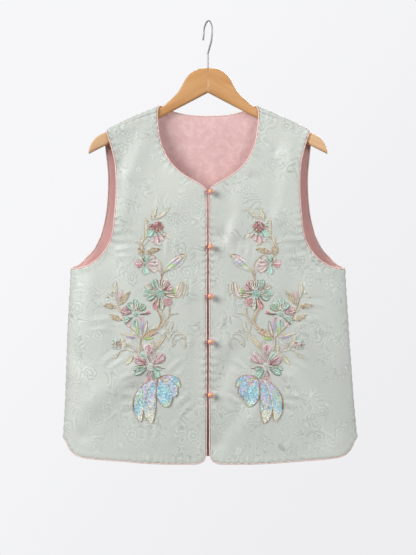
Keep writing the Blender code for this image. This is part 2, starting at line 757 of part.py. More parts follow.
def hanger(group, tools):
    """Two arms glued in the middle, bored for the hook's stem, and the hook."""
    bpy.ops.mesh.primitive_cylinder_add(
        vertices=BORE_SIDES,
        radius=WIRE_R + SEAM_GAP,
        depth=2 * STEM_DEPTH,
        location=(0, 0, ARM_TOP[0][1] * MM),
    )
    bore = bpy.context.object
    bore.name = "stem_bore"
    for owner in list(bore.users_collection):
        owner.objects.unlink(bore)
    tools.objects.link(bore)
    bore.hide_render = True
    bore.display_type = "WIRE"
    for side, mirror in (("left", 1), ("right", -1)):
        stations = [max(x * MM, 0.5 * SEAM_GAP) for x in ARM_STATIONS]
        arm = loft("hanger_" + side, [arm_ring(x, mirror) for x in stations], "wood", group)
        cut = arm.modifiers.new("stem_bore", "BOOLEAN")
        cut.operation = "DIFFERENCE"
        cut.object = bore
    cord("hanger_hook", hook_path(), WIRE_R, "steel", group, sides=8)


def hook_path():
    """The wire from its foot in the wood, up the stem, round the rail and down to the tip."""
    foot = ARM_TOP[0][1] * MM - STEM_DEPTH + SEAM_GAP
    crown_centre = WIRE_R - HOOK_R
    flat = [(0.0, foot)]
    flat += [(-out * MM, z * MM) for out, z in HOOK_NECK]
    for turn in np.linspace(180, 0, HOOK_POINTS):
        angle = math.radians(turn)
        flat.append((HOOK_R * math.cos(angle), crown_centre + HOOK_R * math.sin(angle)))
    flat += [(out * MM, z * MM) for out, z in HOOK_TIP]
    turned = Matrix.Rotation(HOOK_TURN, 4, "Z")
    return [turned @ Vector((0, out, z)) for out, z in flat]


def main():
    """Everything, in a collection of its own, with the bore's cutter in another."""
    clear_scene()
    group = collection("embroidered_waistcoat")
    tools = collection("cutters")
    waistcoat(group)
    buttons(group)
    hanger(group, tools)


main()
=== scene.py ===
"""The look of a lined silk waistcoat with embroidered fronts, hanging on a beech hanger.

Everything is in metres, +Z up, with the inside of the hook's crown at the origin. The fronts face -Y.
"""

import math

import bpy
import numpy as np
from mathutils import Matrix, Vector


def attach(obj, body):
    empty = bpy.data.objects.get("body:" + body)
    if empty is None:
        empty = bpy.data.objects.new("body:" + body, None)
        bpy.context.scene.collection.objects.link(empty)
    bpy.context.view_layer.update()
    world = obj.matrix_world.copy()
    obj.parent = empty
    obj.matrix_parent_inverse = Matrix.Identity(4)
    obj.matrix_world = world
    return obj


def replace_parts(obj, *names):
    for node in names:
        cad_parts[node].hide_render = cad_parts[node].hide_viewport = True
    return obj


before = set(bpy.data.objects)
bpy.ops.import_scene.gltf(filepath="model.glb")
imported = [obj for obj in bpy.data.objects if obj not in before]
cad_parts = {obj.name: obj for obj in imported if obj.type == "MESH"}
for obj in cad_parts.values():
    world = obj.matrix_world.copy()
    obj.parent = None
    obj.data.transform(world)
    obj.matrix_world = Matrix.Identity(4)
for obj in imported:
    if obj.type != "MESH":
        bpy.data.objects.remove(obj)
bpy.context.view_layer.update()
MM = 0.001

# ---- The hanger's arms -------------------------------------------------------------------------------------
# Two halves of steamed beech, bandsawn and sanded round, glued at a mitre under the hook and lacquered clear.
# The waistcoat's shoulders hang over them, so their upper edge follows the line of the shoulder.
NECK_X, NECK_Z = 94 * MM, -160.3 * MM  # where the neckline crosses the shoulder's ridge
SHOULDER_X, SHOULDER_Z = 190.5 * MM, -206.6 * MM  # where the armhole crosses it
SHOULDER_CROWN = 2.5 * MM
ARM_SWEEP, ARM_REACH, ARM_CURVE = 30 * MM, 222.3 * MM, 1.7
ROLL = 9.0 * MM  # radius of the cloth's outer face over the arm
WOOD_HALF, WOOD_CENTRE_HALF, WOOD_CENTRE_REACH = 5.5 * MM, 6.8 * MM, 50 * MM
ARM_TOP = (
    (0.0, -87.0), (15.6, -88.2), (24.9, -92.0), (35.7, -99.8), (43.5, -110.5), (55.0, -131.0),
    (66.8, -144.0), (84.0, -159.6),
)
ARM_TIP = ((205.0, -218.0), (214.0, -227.0), (220.0, -238.0), (222.3, -247.0))
ARM_BOTTOM_Z, ARM_BOTTOM_SLOPE = -133.7 * MM, -0.532
ARM_STEPS, ARM_SIDES, ARM_ROUNDNESS, TIP_CROWDING = 110, 28, 0.8, 1.6
MITRE_SHARE, MITRE_BEVEL, MITRE_SHRINK = 0.0008, 0.35 * MM, 0.985  # the joint and its eased edge


def ease(t):
    """0 to 1, level at both ends."""
    t = np.clip(t, 0.0, 1.0)
    return t * t * (3 - 2 * t)


def ridge_z(x):
    """Height of the cloth's outer face over the hanger's arm."""
    share = (np.abs(x) - NECK_X) / (SHOULDER_X - NECK_X)
    along = np.clip(share, 0.0, 1.0)
    return NECK_Z + (SHOULDER_Z - NECK_Z) * share + 4 * SHOULDER_CROWN * along * (1 - along)


def arm_y(x):
    """Depth of the hanger's arm, which curves forward."""
    return -ARM_SWEEP * (np.abs(x) / ARM_REACH) ** ARM_CURVE


def smooth_line(keys, steps=16):
    """A smooth line through the keys (Catmull-Rom), as many short steps."""
    keys = np.array(keys, float)
    padded = np.vstack((2 * keys[0] - keys[1], keys, 2 * keys[-1] - keys[-2]))
    t = (np.arange(steps) / steps)[:, None]
    runs = []
    for a, b, c, d in zip(padded, padded[1:], padded[2:], padded[3:]):
        square, cube = 2 * a - 5 * b + 4 * c - d, 3 * b - a - 3 * c + d
        runs.append(0.5 * (2 * b + (c - a) * t + square * t**2 + cube * t**3))
    return np.vstack((*runs, keys[-1:]))


def steps_of(line):
    """The length of each step along a line."""
    return np.linalg.norm(np.diff(line, axis=0), axis=1)


def walk(line, shares):
    """The points at these shares of the line's length."""
    run = np.concatenate(((0,), np.cumsum(steps_of(line))))
    return np.stack([np.interp(shares, run / run[-1], column) for column in line.T], axis=1)


def add_piece(name, points, faces, material, uv=None, tints=None):
    """A smooth mesh that rides on the object. uv is (u, v) and tints (r, g, b) at each point."""
    mesh = bpy.data.meshes.new(name)
    faces = faces if isinstance(faces, list) else faces.tolist()
    mesh.from_pydata(np.asarray(points).reshape(-1, 3).tolist(), [], faces)
    mesh.shade_smooth()
    if uv is not None:
        corners = np.empty(len(mesh.loops), int)
        mesh.loops.foreach_get("vertex_index", corners)
        laid = np.asarray(uv, float).reshape(-1, 2)[corners]
        mesh.uv_layers.new(name="cut").data.foreach_set("uv", laid.ravel())
    if tints is not None:
        tints = np.asarray(tints, float).reshape(-1, 3)
        layer = mesh.color_attributes.new("tint", "FLOAT_COLOR", "POINT")
        layer.data.foreach_set("color", np.hstack((tints, np.ones((len(tints), 1)))).ravel())
    mesh.materials.append(material)
    made = bpy.data.objects.new(name, mesh)
    bpy.context.scene.collection.objects.link(made)
    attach(made, "root")
    return made


def strip_faces(rows, columns, closed=False):
    """Four-sided faces between the rows of a grid of points, closed round each row if it is a ring."""
    row, column = np.meshgrid(np.arange(rows - 1), np.arange(columns - (not closed)), indexing="ij")
    a = row * columns + column
    b = row * columns + (column + 1) % columns
    return np.stack((a, b, b + columns, a + columns), axis=-1).reshape(-1, 4)


def node(tree, kind, feed=None, **settings):
    """A shader node. feed gives its inputs, each a value or another node's output."""
    made = tree.nodes.new("ShaderNode" + kind)
    for key, value in settings.items():
        setattr(made, key, value)
    for socket, value in (feed or {}).items():
        if isinstance(value, bpy.types.NodeSocket):
            tree.links.new(value, made.inputs[socket])
        else:
            made.inputs[socket].default_value = value
    return made


def maths(tree, operation, *values):
    """The output of a Math node."""
    return node(tree, "Math", dict(enumerate(values)), operation=operation).outputs[0]


def spread(tree, value, low, high, to_low=0.0, to_high=1.0):
    """A value eased from one range to another."""
    feed = {"Value": value, "From Min": low, "From Max": high, "To Min": to_low, "To Max": to_high}
    return node(tree, "MapRange", feed, interpolation_type="SMOOTHSTEP").outputs[0]


def tinted(tree, factor, first, second):
    """A colour between two, each an (r, g, b) or an output."""
    given = [c if isinstance(c, bpy.types.NodeSocket) else (*c, 1) for c in (first, second)]
    return node(tree, "Mix", {0: factor, 6: given[0], 7: given[1]}, data_type="RGBA").outputs[2]


def noise(tree, vector, scale, detail=2.0, roughness=0.5):
    """A noise's value over a vector."""
    feed = {"Vector": vector, "Scale": scale, "Detail": detail, "Roughness": roughness}
    return node(tree, "TexNoise", feed).outputs["Fac"]


def scaled(tree, vector, scale):
    """A vector scaled along each axis."""
    return node(tree, "Mapping", {"Vector": vector, "Scale": scale}).outputs[0]


def new_material(name, colour, roughness, **sockets):
    """A Principled material, with further sockets by name. Returns it, its tree and its shader."""
    made = bpy.data.materials.new(name)
    made.use_nodes = True
    shader = made.node_tree.nodes["Principled BSDF"]
    shader.inputs["Base Color"].default_value = (*colour, 1)
    shader.inputs["Roughness"].default_value = roughness
    for socket, value in sockets.items():
        shader.inputs[socket.replace("_", " ")].default_value = value
    return made, made.node_tree, shader


def raise_by(tree, shader, height, distance, strength=1.0):
    """Bump from a height output."""
    bump = node(tree, "Bump", {"Height": height, "Distance": distance, "Strength": strength})
    tree.links.new(bump.outputs[0], shader.inputs["Normal"])


BEECH_PALE, BEECH_WARM, BEECH_FLECK = (0.70, 0.385, 0.165), (0.60, 0.295, 0.11), (0.50, 0.25, 0.10)
# painted highlight towards the arms' tips
BEECH_TIP_HIGHLIGHT = (0.84, 0.60, 0.38)


def beech_material():
    """Fine straight grain along the arm, faint growth rings, the short dark flecks of beech, and a painted
    highlight that pales the wood towards each tip.
    """
    made, tree, shader = new_material("beech", BEECH_PALE, 0.36, Coat_Weight=0.35, Coat_Roughness=0.22)
    cut = node(tree, "UVMap", uv_map="cut").outputs[0]
    drift = noise(tree, scaled(tree, cut, (9, 60, 1)), 1.0, 3.0)
    rings = noise(tree, scaled(tree, cut, (4, 150, 1)), 1.0, 4.0, 0.6)
    fibre = noise(tree, scaled(tree, cut, (60, 2600, 1)), 1.0, 2.0)
    cells = node(tree, "TexVoronoi", {"Vector": scaled(tree, cut, (210, 1100, 1)), "Scale": 1.0})
    fleck = maths(
        tree,
        "MULTIPLY",
        spread(tree, cells.outputs["Distance"], 0.16, 0.05),
        spread(tree, noise(tree, scaled(tree, cut, (90, 400, 1)), 1.0), 0.5, 0.62),
    )
    wood = tinted(tree, spread(tree, drift, 0.35, 0.7), BEECH_PALE, BEECH_WARM)
    wood = tinted(tree, spread(tree, rings, 0.5, 0.64, 0, 0.75), wood, BEECH_WARM)
    wood = tinted(tree, maths(tree, "MULTIPLY", fleck, 0.35), wood, BEECH_FLECK)
    # painted highlight: the wood turns paler towards each tip, where the light falls on it
    reach = node(tree, "SeparateXYZ", {0: cut}).outputs[0]
    wood = tinted(tree, spread(tree, reach, 0.11, 0.2, 0, 0.5), wood, BEECH_TIP_HIGHLIGHT)
    tree.links.new(wood, shader.inputs["Base Color"])
    tree.links.new(spread(tree, fibre, 0.3, 0.7, 0.30, 0.44), shader.inputs["Roughness"])
    raise_by(tree, shader, fibre, 0.04 * MM, 0.5)
    return made


def arm_mesh(side):
    """The points of one arm's rings from the mitre to the tip, and the wood's grain along and round it."""
    covered = (NECK_X, 0.5 * (NECK_X + SHOULDER_X), SHOULDER_X)
    under_cloth = [(x / MM, (ridge_z(x) - ROLL + WOOD_HALF) / MM) for x in covered]
    line = smooth_line((*ARM_TOP, *under_cloth, *ARM_TIP))
    share = np.linspace(0, 1, ARM_STEPS)
    x = ARM_REACH * (MITRE_SHARE + (1 - MITRE_SHARE) * (1 - (1 - share) ** TIP_CROWDING))
    x[1] = x[0] + MITRE_BEVEL
    top = np.interp(x / MM, line[:, 0], line[:, 1]) * MM
    bottom = ARM_BOTTOM_Z + ARM_BOTTOM_SLOPE * x
    half = WOOD_HALF + (WOOD_CENTRE_HALF - WOOD_HALF) * (1 - ease(x / WOOD_CENTRE_REACH))
    half = np.minimum(half, 0.5 * (top - bottom)) * np.where(share == 0, MITRE_SHRINK, 1.0)
    turn = 2 * math.pi * (np.arange(ARM_SIDES) + 0.5) / ARM_SIDES
    out, up = np.cos(turn)[None], np.sin(turn)[None]
    rounded = (np.abs(out) ** ARM_ROUNDNESS) * np.sign(out)
    middle = np.where(up > 0, (top - half)[:, None], (bottom + half)[:, None])
    along = x[:, None] + 0 * middle
    depth, height = arm_y(along) + half[:, None] * rounded, middle + half[:, None] * up
    across = height - ARM_BOTTOM_SLOPE * along + 0.6 * depth + 0.31 * side
    return np.stack((side * along, depth, height), axis=-1), np.stack((along, across), axis=-1)


beech = beech_material()
for side, name in ((1, "left"), (-1, "right")):
    points, grain = arm_mesh(side)
    points, grain = np.vstack((points, points[:1])), np.vstack((grain, grain[:1]))
    faces = strip_faces(ARM_STEPS, ARM_SIDES, closed=True)[:, ::side].tolist()
    faces.append(list(range(ARM_STEPS * ARM_SIDES, (ARM_STEPS + 1) * ARM_SIDES))[:: -side])
    faces.append(list(range((ARM_STEPS - 1) * ARM_SIDES, ARM_STEPS * ARM_SIDES))[::side])
    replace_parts(add_piece("beech_arm_" + name, points, faces, beech, grain), "hanger_" + name)

# ---- The hook ----------------------------------------------------------------------------------------------
# One length of drawn steel wire, bent to go over a rail and screwed down into the middle of the wood. It
# swivels in its hole, and hangs turned a little from square.
WIRE_R = 1.6 * MM
STEM_DEPTH = 23.7 * MM
HOOK_R = 19.4 * MM + WIRE_R
HOOK_TURN = math.radians(22)
HOOK_NECK = ((0.0, -62.0), (1.0, -58.5), (8.0, -49.5), (15.5, -40.5), (19.8, -30.0))
HOOK_TIP = ((23.0, -26.0), (25.5, -31.0))
HOOK_BEND_POINTS, HOOK_POINTS, WIRE_SIDES = 15, 150, 16
STEEL = (0.46, 0.44, 0.425)


def tube(lines, radii, sides=4, up=None, flat=1.0, closed=False):
    """Round or flattened tubes along several lines of equally many points.

    lines is (tubes, points, 3), and radii and up, the way that each tube's flat side faces, go with it. Returns
    (tubes, points, sides, 3) and faces, with the ends filled where there are four sides.
    """
    lines = np.asarray(lines, float)
    count, steps = lines.shape[:2]
    ahead = np.roll(lines, -1, axis=1) - np.roll(lines, 1, axis=1)
    if not closed:
        ahead[:, 0], ahead[:, -1] = lines[:, 1] - lines[:, 0], lines[:, -1] - lines[:, -2]
    ahead /= np.maximum(np.linalg.norm(ahead, axis=-1, keepdims=True), 1e-12)
    up = np.broadcast_to((0.0, -1.0, 0.0) if up is None else up, lines.shape)
    beside = np.cross(ahead, up)
    beside /= np.maximum(np.linalg.norm(beside, axis=-1, keepdims=True), 1e-12)
    over = np.cross(beside, ahead)
    turn = 2 * math.pi * (np.arange(sides) + 0.5) / sides
    radii = np.broadcast_to(radii, (count, steps))[..., None, None]
    ring = np.cos(turn)[:, None] * beside[..., None, :] + flat * np.sin(turn)[:, None] * over[..., None, :]
    points = lines[..., None, :] + radii * ring
    faces = strip_faces(steps + closed, sides, closed=True) % (steps * sides)
    if sides == 4 and not closed:
        caps = np.array(((3, 2, 1, 0), (0, 1, 2, 3))) + [[0], [(steps - 1) * sides]]
        faces = np.vstack((faces, caps))
    return points, (faces + np.arange(count)[:, None, None] * steps * sides).reshape(-1, 4)


def steel_material():
    """Dulled wire with faint drawing marks along it."""
    made, tree, shader = new_material("drawn_steel", STEEL, 0.45, Metallic=0.3)
    place = node(tree, "TexCoord").outputs["Object"]
    marks = noise(tree, scaled(tree, place, (2400, 2400, 160)), 1.0, 3.0)
    tree.links.new(spread(tree, marks, 0.3, 0.7, 0.38, 0.52), shader.inputs["Roughness"])
    return made


def hook_line():
    """The wire's middle, from its foot in the wood over the bend to its tip."""
    flat = [(0.0, ARM_TOP[0][1] - STEM_DEPTH / MM), (0.0, -68.0)] + [(-out, z) for out, z in HOOK_NECK]
    for turn in np.linspace(math.pi, 0, HOOK_BEND_POINTS):
        flat.append((HOOK_R * math.cos(turn) / MM, (HOOK_R * math.sin(turn) - HOOK_R + WIRE_R) / MM))
    flat += HOOK_TIP
    turned = np.array([(0.0, out * MM, z * MM) for out, z in flat])
    turned[:, 0] = -math.sin(HOOK_TURN) * turned[:, 1]
    turned[:, 1] *= math.cos(HOOK_TURN)
    return walk(smooth_line(turned, 6), np.linspace(0, 1, HOOK_POINTS))


points, faces = tube(hook_line()[None], WIRE_R, sides=WIRE_SIDES, up=(1.0, 0.0, 0.0))
tip_ring = range((HOOK_POINTS - 1) * WIRE_SIDES, HOOK_POINTS * WIRE_SIDES)
faces = faces.tolist() + [list(range(WIRE_SIDES)), list(tip_ring)[::-1]]
hook = add_piece("steel_hook", points, faces, steel_material())
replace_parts(hook, "hanger_hook")

# ---- The cut cloth -----------------------------------------------------------------------------------------
# Two fronts and a back, cut in figured silk satin, each with a lining of plain satin of the same cut. They are
# sewn at the sides and at shoulder seams that lie a little forward, with an open vent at each side of the hem.
SHELL, LINING, SEAM_GAP = 1.2 * MM, 1.0 * MM, 0.3 * MM
PIPING_R = 1.3 * MM
SEAM_BACK = 0.08 * MM  # the cloth turns in this close to a seam
PANEL_GIRTH = 283 * MM  # middle of a panel to the side seam, along the cloth
SEAM_AHEAD_NECK, SEAM_AHEAD_ARM = 17 * MM, 10 * MM
UNDERARM_Z, VENT_TOP = -467.6 * MM, -778 * MM
NECK_EDGE_X, ARM_EDGE_X = 97 * MM, 187.2 * MM
SIDE_SEAM = PANEL_GIRTH - SEAM_BACK
VENT = ((PANEL_GIRTH - 3.8 * MM, VENT_TOP - 2.5 * MM), (SIDE_SEAM, VENT_TOP))
HANG, FOLD_RISE = 200 * MM, 66.7 * MM
BODY = np.array(
    (
        # height, half width, swing, side depth, front bulge, back bulge
        (-160, 257.5, 0.0, -6, 28, 22),
        (-300, 257.5, 0.0, -7, 31, 25),
        (-464, 258.0, 0.0, -8, 34, 27),
        (-500, 260.0, 0.0, -8, 35, 28),
        (-590, 265.2, 0.5, -8, 37, 30),
        (-700, 270.8, 2.5, -8, 39, 33),
        (-780, 276.4, 4.0, -8, 40, 35),
        (-840, 278.0, 4.8, -8, 41, 36),
    )
)
SECTION_ASPECT, SECTION_SQUARENESS = 0.13, 0.5
FRONT_NECKLINE = (
    (96.0, -193.5), (91.3, -225.5), (80.3, -253.6), (65.8, -274.7), (43.1, -293.8), (18.5, -307.8),
)
NECK_CORNER = ((18.5, -307.8), (8.6, -315.5), (4.6, -322.0))
FRONT_TOP_Z, FRONT_CORNER_Z = -328.0, -808.5
FRONT_ARMHOLE = (
    (178.6, -236.5), (171.6, -266.0), (169.4, -292.5), (169.3, -328.0), (172.4, -367.8), (175.4, -396.5),
    (179.8, -414.2),
)
FRONT_UNDERARM = ((179.8, -414.2), (190.0, -432.2), (205.3, -449.0), (223.5, -460.8), (241.0, -466.2))
FRONT_HEM = (
    (7.6, -817.0), (12.6, -822.0), (22.0, -825.0), (40.0, -825.4), (79.0, -825.2), (118.0, -823.6),
    (155.0, -820.9), (197.0, -818.2), (232.0, -815.4), (248.0, -811.8), (258.5, -805.0), (265.5, -795.5),
    (270.0, -787.0),
)
BACK_NECKLINE = ((0.0, -179.0), (35.0, -177.0), (62.0, -172.0), (82.0, -165.5))
BACK_NECK_RISE = ((82.0, -165.5), (90.0, -158.0), (95.0, -149.0))
BACK_ARMHOLE_RISE = ((189.0, -217.0), (190.5, -230.0))
BACK_ARMHOLE = (
    (190.5, -230.0), (188.5, -256.0), (186.0, -290.0), (187.0, -326.0), (191.6, -366.5), (200.8, -403.2),
)
BACK_UNDERARM = ((200.8, -403.2), (214.0, -429.0), (229.5, -446.5), (243.5, -460.0))
BACK_HEM = (
    (0.0, -819.0), (80.0, -818.8), (155.0, -817.5), (197.0, -815.5), (232.0, -812.5), (248.0, -809.2),
    (258.5, -803.0), (265.5, -794.0), (270.0, -786.5),
)
FRONT_GAP = np.array(
    (
        # height, half the gap between the two pipings
        (-320, 0.4),
        (-345, 1.0),
        (-425, 1.2),
        (-517, 1.4),
        (-560, 1.6),
        (-601, 1.5),
        (-650, 1.4),
        (-699, 1.4),
        (-760, 1.9),
        (-830, 2.2),
    )
)

# The folds that the whole garment takes, then the creases and drag lines of the silk alone. Each is a soft
# ridge along a line that bows sideways in its middle, or a trough where its height is negative.
FOLDS = (
    # side, x and z of the upper end, x and z of the lower end, bow, half width, height
    (-1, -112, -190, -150, -290, 0, 15, 3.0), (-1, -152, -215, -165, -270, 0, 10, -2.5),
    (-1, -186, -425, -240, -640, 0, 26, -6.0), (-1, -128, -655, -214, -716, 0, 22, 5.0),
    (-1, -140, -690, -232, -775, 0, 16, -3.5), (-1, -212, -690, -262, -640, 0, 20, 3.0),
    (-1, 104, -210, 122, -245, 0, 9, -3.0), (-1, 90, -240, 46, -400, 0, 15, 4.5),
    (-1, 78, -300, 28, -405, 0, 13, -4.5), (-1, 158, -225, 134, -370, 0, 18, 4.0),
    (-1, 176, -435, 150, -520, 0, 18, -4.0), (-1, 46, -620, 16, -690, 0, 16, -3.0),
    (-1, 72, -715, 18, -790, 0, 15, -4.0), (-1, 160, -620, 222, -770, 0, 26, -4.5),
    (1, -150, -240, -96, -420, 0, 20, 4.0), (1, 148, -235, 90, -400, 0, 18, 3.5),
    (1, -60, -430, -84, -760, 0, 26, -4.5), (1, 52, -470, 96, -790, 0, 30, -5.0),
    (1, 186, -460, 206, -700, 0, 24, 3.5), (1, -196, -440, -214, -640, 0, 22, 3.0),
    (1, 4, -215, -6, -400, 0, 34, -3.0),
)
CREASES = (
    (-1, -128, -655, -214, -716, 0, 22, -2.0), (-1, -97, -172, -168, -425, 9, 15, 2.9),
    (-1, -120, -205, -152, -290, 0, 14, -1.5), (-1, -151, -206, -167, -282, 0, 11, 2.4),
    (-1, -146, -196, -170, -310, 6, 14, -1.6), (-1, -190, -440, -238, -640, 0, 26, 3.8),
    (-1, -170, -425, -184, -660, -6, 19, -2.4), (-1, -216, -465, -232, -690, 4, 17, 2.8),
    (-1, -136, -684, -236, -780, 0, 17, 2.7), (-1, -120, -706, -196, -806, 8, 20, -1.3),
    (-1, -96, -700, -60, -800, -6, 18, 1.4), (-1, -52, -500, -30, -640, -6, 16, 1.5),
    (-1, -24, -560, -26, -760, 3, 12, -1.2), (-1, -60, -330, -34, -440, 5, 14, 1.2),
    (-1, -84, -196, -92, -300, -4, 10, -0.9), (-1, 90, -240, 46, -400, 0, 15, -1.7),
    (-1, 79, -292, 26, -412, 0, 14, 3.8), (-1, 50, -290, 10, -430, -4, 16, -0.9),
    (-1, 101, -200, 124, -254, 0, 9, 2.2), (-1, 126, -215, 104, -410, -3, 15, -1.7),
    (-1, 172, -215, 150, -430, -3, 17, 1.8), (-1, 148, -240, 126, -370, 0, 12, -1.2),
    (-1, 192, -440, 172, -590, 8, 18, -1.2), (-1, 176, -430, 150, -530, 0, 18, 1.4),
    (-1, 56, -490, 38, -650, 0, 17, 2.2), (-1, 72, -712, 22, -794, 0, 15, 2.3),
    (-1, 110, -640, 60, -780, -10, 17, 1.5), (-1, 148, -640, 196, -780, 0, 20, 2.4),
    (-1, 188, -610, 246, -780, 6, 18, -1.6), (-1, 236, -480, 248, -700, -4, 12, 1.4),
    (-1, 214, -470, 204, -600, 6, 12, -1.2), (1, -110, -200, -60, -330, 8, 8, 1.4),
    (1, 120, -210, 60, -340, -9, 8, -1.3), (1, 30, -240, 60, -420, 12, 10, 1.5),
    (1, -34, -230, -50, -380, -9, 9, -1.2), (1, -150, -420, -120, -560, 10, 9, -1.6),
    (1, 160, -420, 130, -600, -12, 10, 1.8), (1, -20, -480, -40, -700, 12, 11, 1.6),
    (1, 8, -560, 40, -800, -10, 9, -1.4), (1, -120, -600, -150, -790, 9, 10, 1.5),
    (1, 150, -620, 130, -800, 9, 9, -1.4), (1, 232, -480, 240, -640, -6, 8, -1.4),
    (1, -238, -500, -232, -700, 6, 8, 1.3),
)


def section_table(samples=600):
    """A quarter of the tube's outline: share of its length, share of the half width, share of the bulge."""
    angle = np.linspace(0, 1, samples) ** 2 * math.pi / 2
    across, bulge = np.sin(angle) ** SECTION_SQUARENESS, np.cos(angle)
    steps = np.hypot(np.diff(across), SECTION_ASPECT * np.diff(bulge))
    run = np.concatenate(((0,), np.cumsum(steps)))
    return run / run[-1], across, bulge


SECTION_RUN, SECTION_ACROSS, SECTION_BULGE = section_table()


def body_at(z):
    """Half width, swing, side depth, front bulge and back bulge at a height."""
    return [np.interp(z, BODY[::-1, 0] * MM, BODY[::-1, k] * MM) for k in range(1, BODY.shape[1])]


def fold_height(side, x, z):
    """How far the folds and creases lift the cloth outwards, at places in the front view."""
    lift = np.zeros(np.shape(x))
    for table, fade in ((FOLDS, 0.0), (CREASES, 1.0)):
        for face, x0, z0, x1, z1, bow, half_width, height in table:
            run = np.array((x1 - x0, z1 - z0)) * MM
            length = math.hypot(*run)
            ahead = ((x - x0 * MM) * run[0] + (z - z0 * MM) * run[1]) / length**2
            share = np.clip(ahead, 0, 1)
            beside = ((x - x0 * MM) * run[1] - (z - z0 * MM) * run[0]) / length
            beside = beside - bow * MM * 4 * share * (1 - share)
            away = np.hypot(beside, (ahead - share) * length) / (half_width * MM)
            taper = 1 - fade * (1 - ease(6 * share) * ease(4 * (1 - share)))
            lift += np.where(side == face, height * MM * np.exp(-away * away) * taper, 0)
    return lift


def hanging_y(side, share, x, z):
    """Depth of the hanging cloth: the arm's curve at the shoulders, the body's bulge below."""
    _, _, side_y, front, back = body_at(z)
    bulge = np.interp(np.abs(share), SECTION_RUN, SECTION_BULGE)
    drop = ridge_z(x) - ROLL - z
    below = ease(drop / HANG)
    lift = fold_height(side, x, z) * bulge * ease(drop / FOLD_RISE)
    hung = side_y + side * np.where(side < 0, front, back) * bulge
    return (1 - below) * (arm_y(x) + side * ROLL) + below * hung + side * lift


def cloth_points(side, girth, level):
    """Points of the cloth's outer face. side is -1 for the fronts and 1 for the back.

    girth runs along the cloth from the middle to the side seam. level is a height, and from the top of the
    arm's straight side it runs on over the roll.
    """
    share = girth / PANEL_GIRTH
    half_width, swing = body_at(level)[:2]
    across = np.interp(np.abs(share), SECTION_RUN, SECTION_ACROSS)
    x = np.sign(girth) * half_width * across + swing * across
    top = ridge_z(x) - ROLL
    over = level - top
    beyond = over > math.pi * ROLL
    z = np.where(over <= 0, level, top - (over - math.pi * ROLL))
    hung = hanging_y(np.where(beyond, -side, side), share, x, z)
    turn = over / ROLL
    rolling = (over > 0) & ~beyond
    y = np.where(rolling, arm_y(x) + side * ROLL * np.cos(turn), hung)
    z = np.where(rolling, top + ROLL * np.sin(turn), z)
    return np.stack((x, y, z), axis=-1)


def unit(vectors):
    """Vectors made one long."""
    return vectors / np.linalg.norm(vectors, axis=-1, keepdims=True)


def cloth_normals(side, girth, level, near=0.05 * MM):
    """The outward directions there."""
    inner = np.copysign(np.maximum(np.abs(girth) - near, 0), girth)
    outer = np.copysign(np.minimum(np.abs(girth) + near, PANEL_GIRTH), girth)
    across = (cloth_points(side, outer, level) - cloth_points(side, inner, level)) * np.sign(outer)[..., None]
    up = cloth_points(side, girth, level + near) - cloth_points(side, girth, level - near)
    return unit(side * np.cross(up, across))


def girth_of(x, z):
    """How far along the cloth a place in the front view lies from the middle."""
    return PANEL_GIRTH * np.interp(abs(x) / body_at(z)[0], SECTION_ACROSS, SECTION_RUN)


def laid_flat(keys):
    """Front view places in millimetres as (girth, level)."""
    return [(girth_of(x * MM, z * MM), z * MM) for x, z in keys]


def straight(start, end, shares):
    """The points at these shares of a straight line."""
    return np.array(start) + (np.array(end) - start) * np.array(shares)[:, None]


def panel(columns, rows, top, bottom, inner, outer):
    """A patch of (girth, level) between four edges."""
    u, v = columns[None, :, None], rows[:, None, None]
    across = (1 - u) * inner[:, None] + u * outer[:, None]
    down = (1 - v) * top[None] + v * bottom[None]
    near, far = (1 - u) * top[0] + u * top[-1], (1 - u) * bottom[0] + u * bottom[-1]
    return across + down - ((1 - v) * near + v * far)


def two_part(share, first, second):
    """Shares of a whole whose first part, which ends at share, and second part have their own."""
    return np.concatenate((share * first, share + (1 - share) * second[1:]))


def shoulder_line(side, steps=8):
    """The shoulder seam from the neck out to the armhole, in front of the ridge."""
    x = np.linspace(NECK_EDGE_X, ARM_EDGE_X, steps + 1)
    share = (x - NECK_X) / (SHOULDER_X - NECK_X)
    ahead = SEAM_AHEAD_NECK + (SEAM_AHEAD_ARM - SEAM_AHEAD_NECK) * share
    level = ridge_z(x) - ROLL + math.pi / 2 * ROLL + side * ahead - SEAM_BACK
    return np.stack((girth_of(x, SHOULDER_Z), level), axis=1)


def front_edge(upper, lower, steps=15):
    """The front edge's straight run between two heights in millimetres: half the gap, then the piping."""
    z = np.linspace(upper, lower, steps + 1)
    x = (2 * PIPING_R + SEAM_GAP) / MM + np.interp(z, FRONT_GAP[::-1, 0], FRONT_GAP[::-1, 1])
    return np.array(laid_flat(list(zip(x, z))))


STRAP_SHARE, FRONT_NECK_SHARE = 0.62, 0.68
FRONT_SPLIT_Z, BACK_SPLIT_Z = -428.0, -420.0


def even(steps):
    """Evenly spaced shares."""
    return np.linspace(0, 1, steps + 1)


def below_armhole(split, centre, underarm, hem, strap, side, rows):
    """The cloth below the armhole, whose columns run on from the strap's."""
    columns = two_part(STRAP_SHARE, strap, side)
    top = np.vstack((split, walk(underarm, side)[1:]))
    seam = straight(underarm[-1], (SIDE_SEAM, VENT_TOP), rows)
    return panel(columns, rows, top, walk(hem, columns), walk(centre, rows), seam)


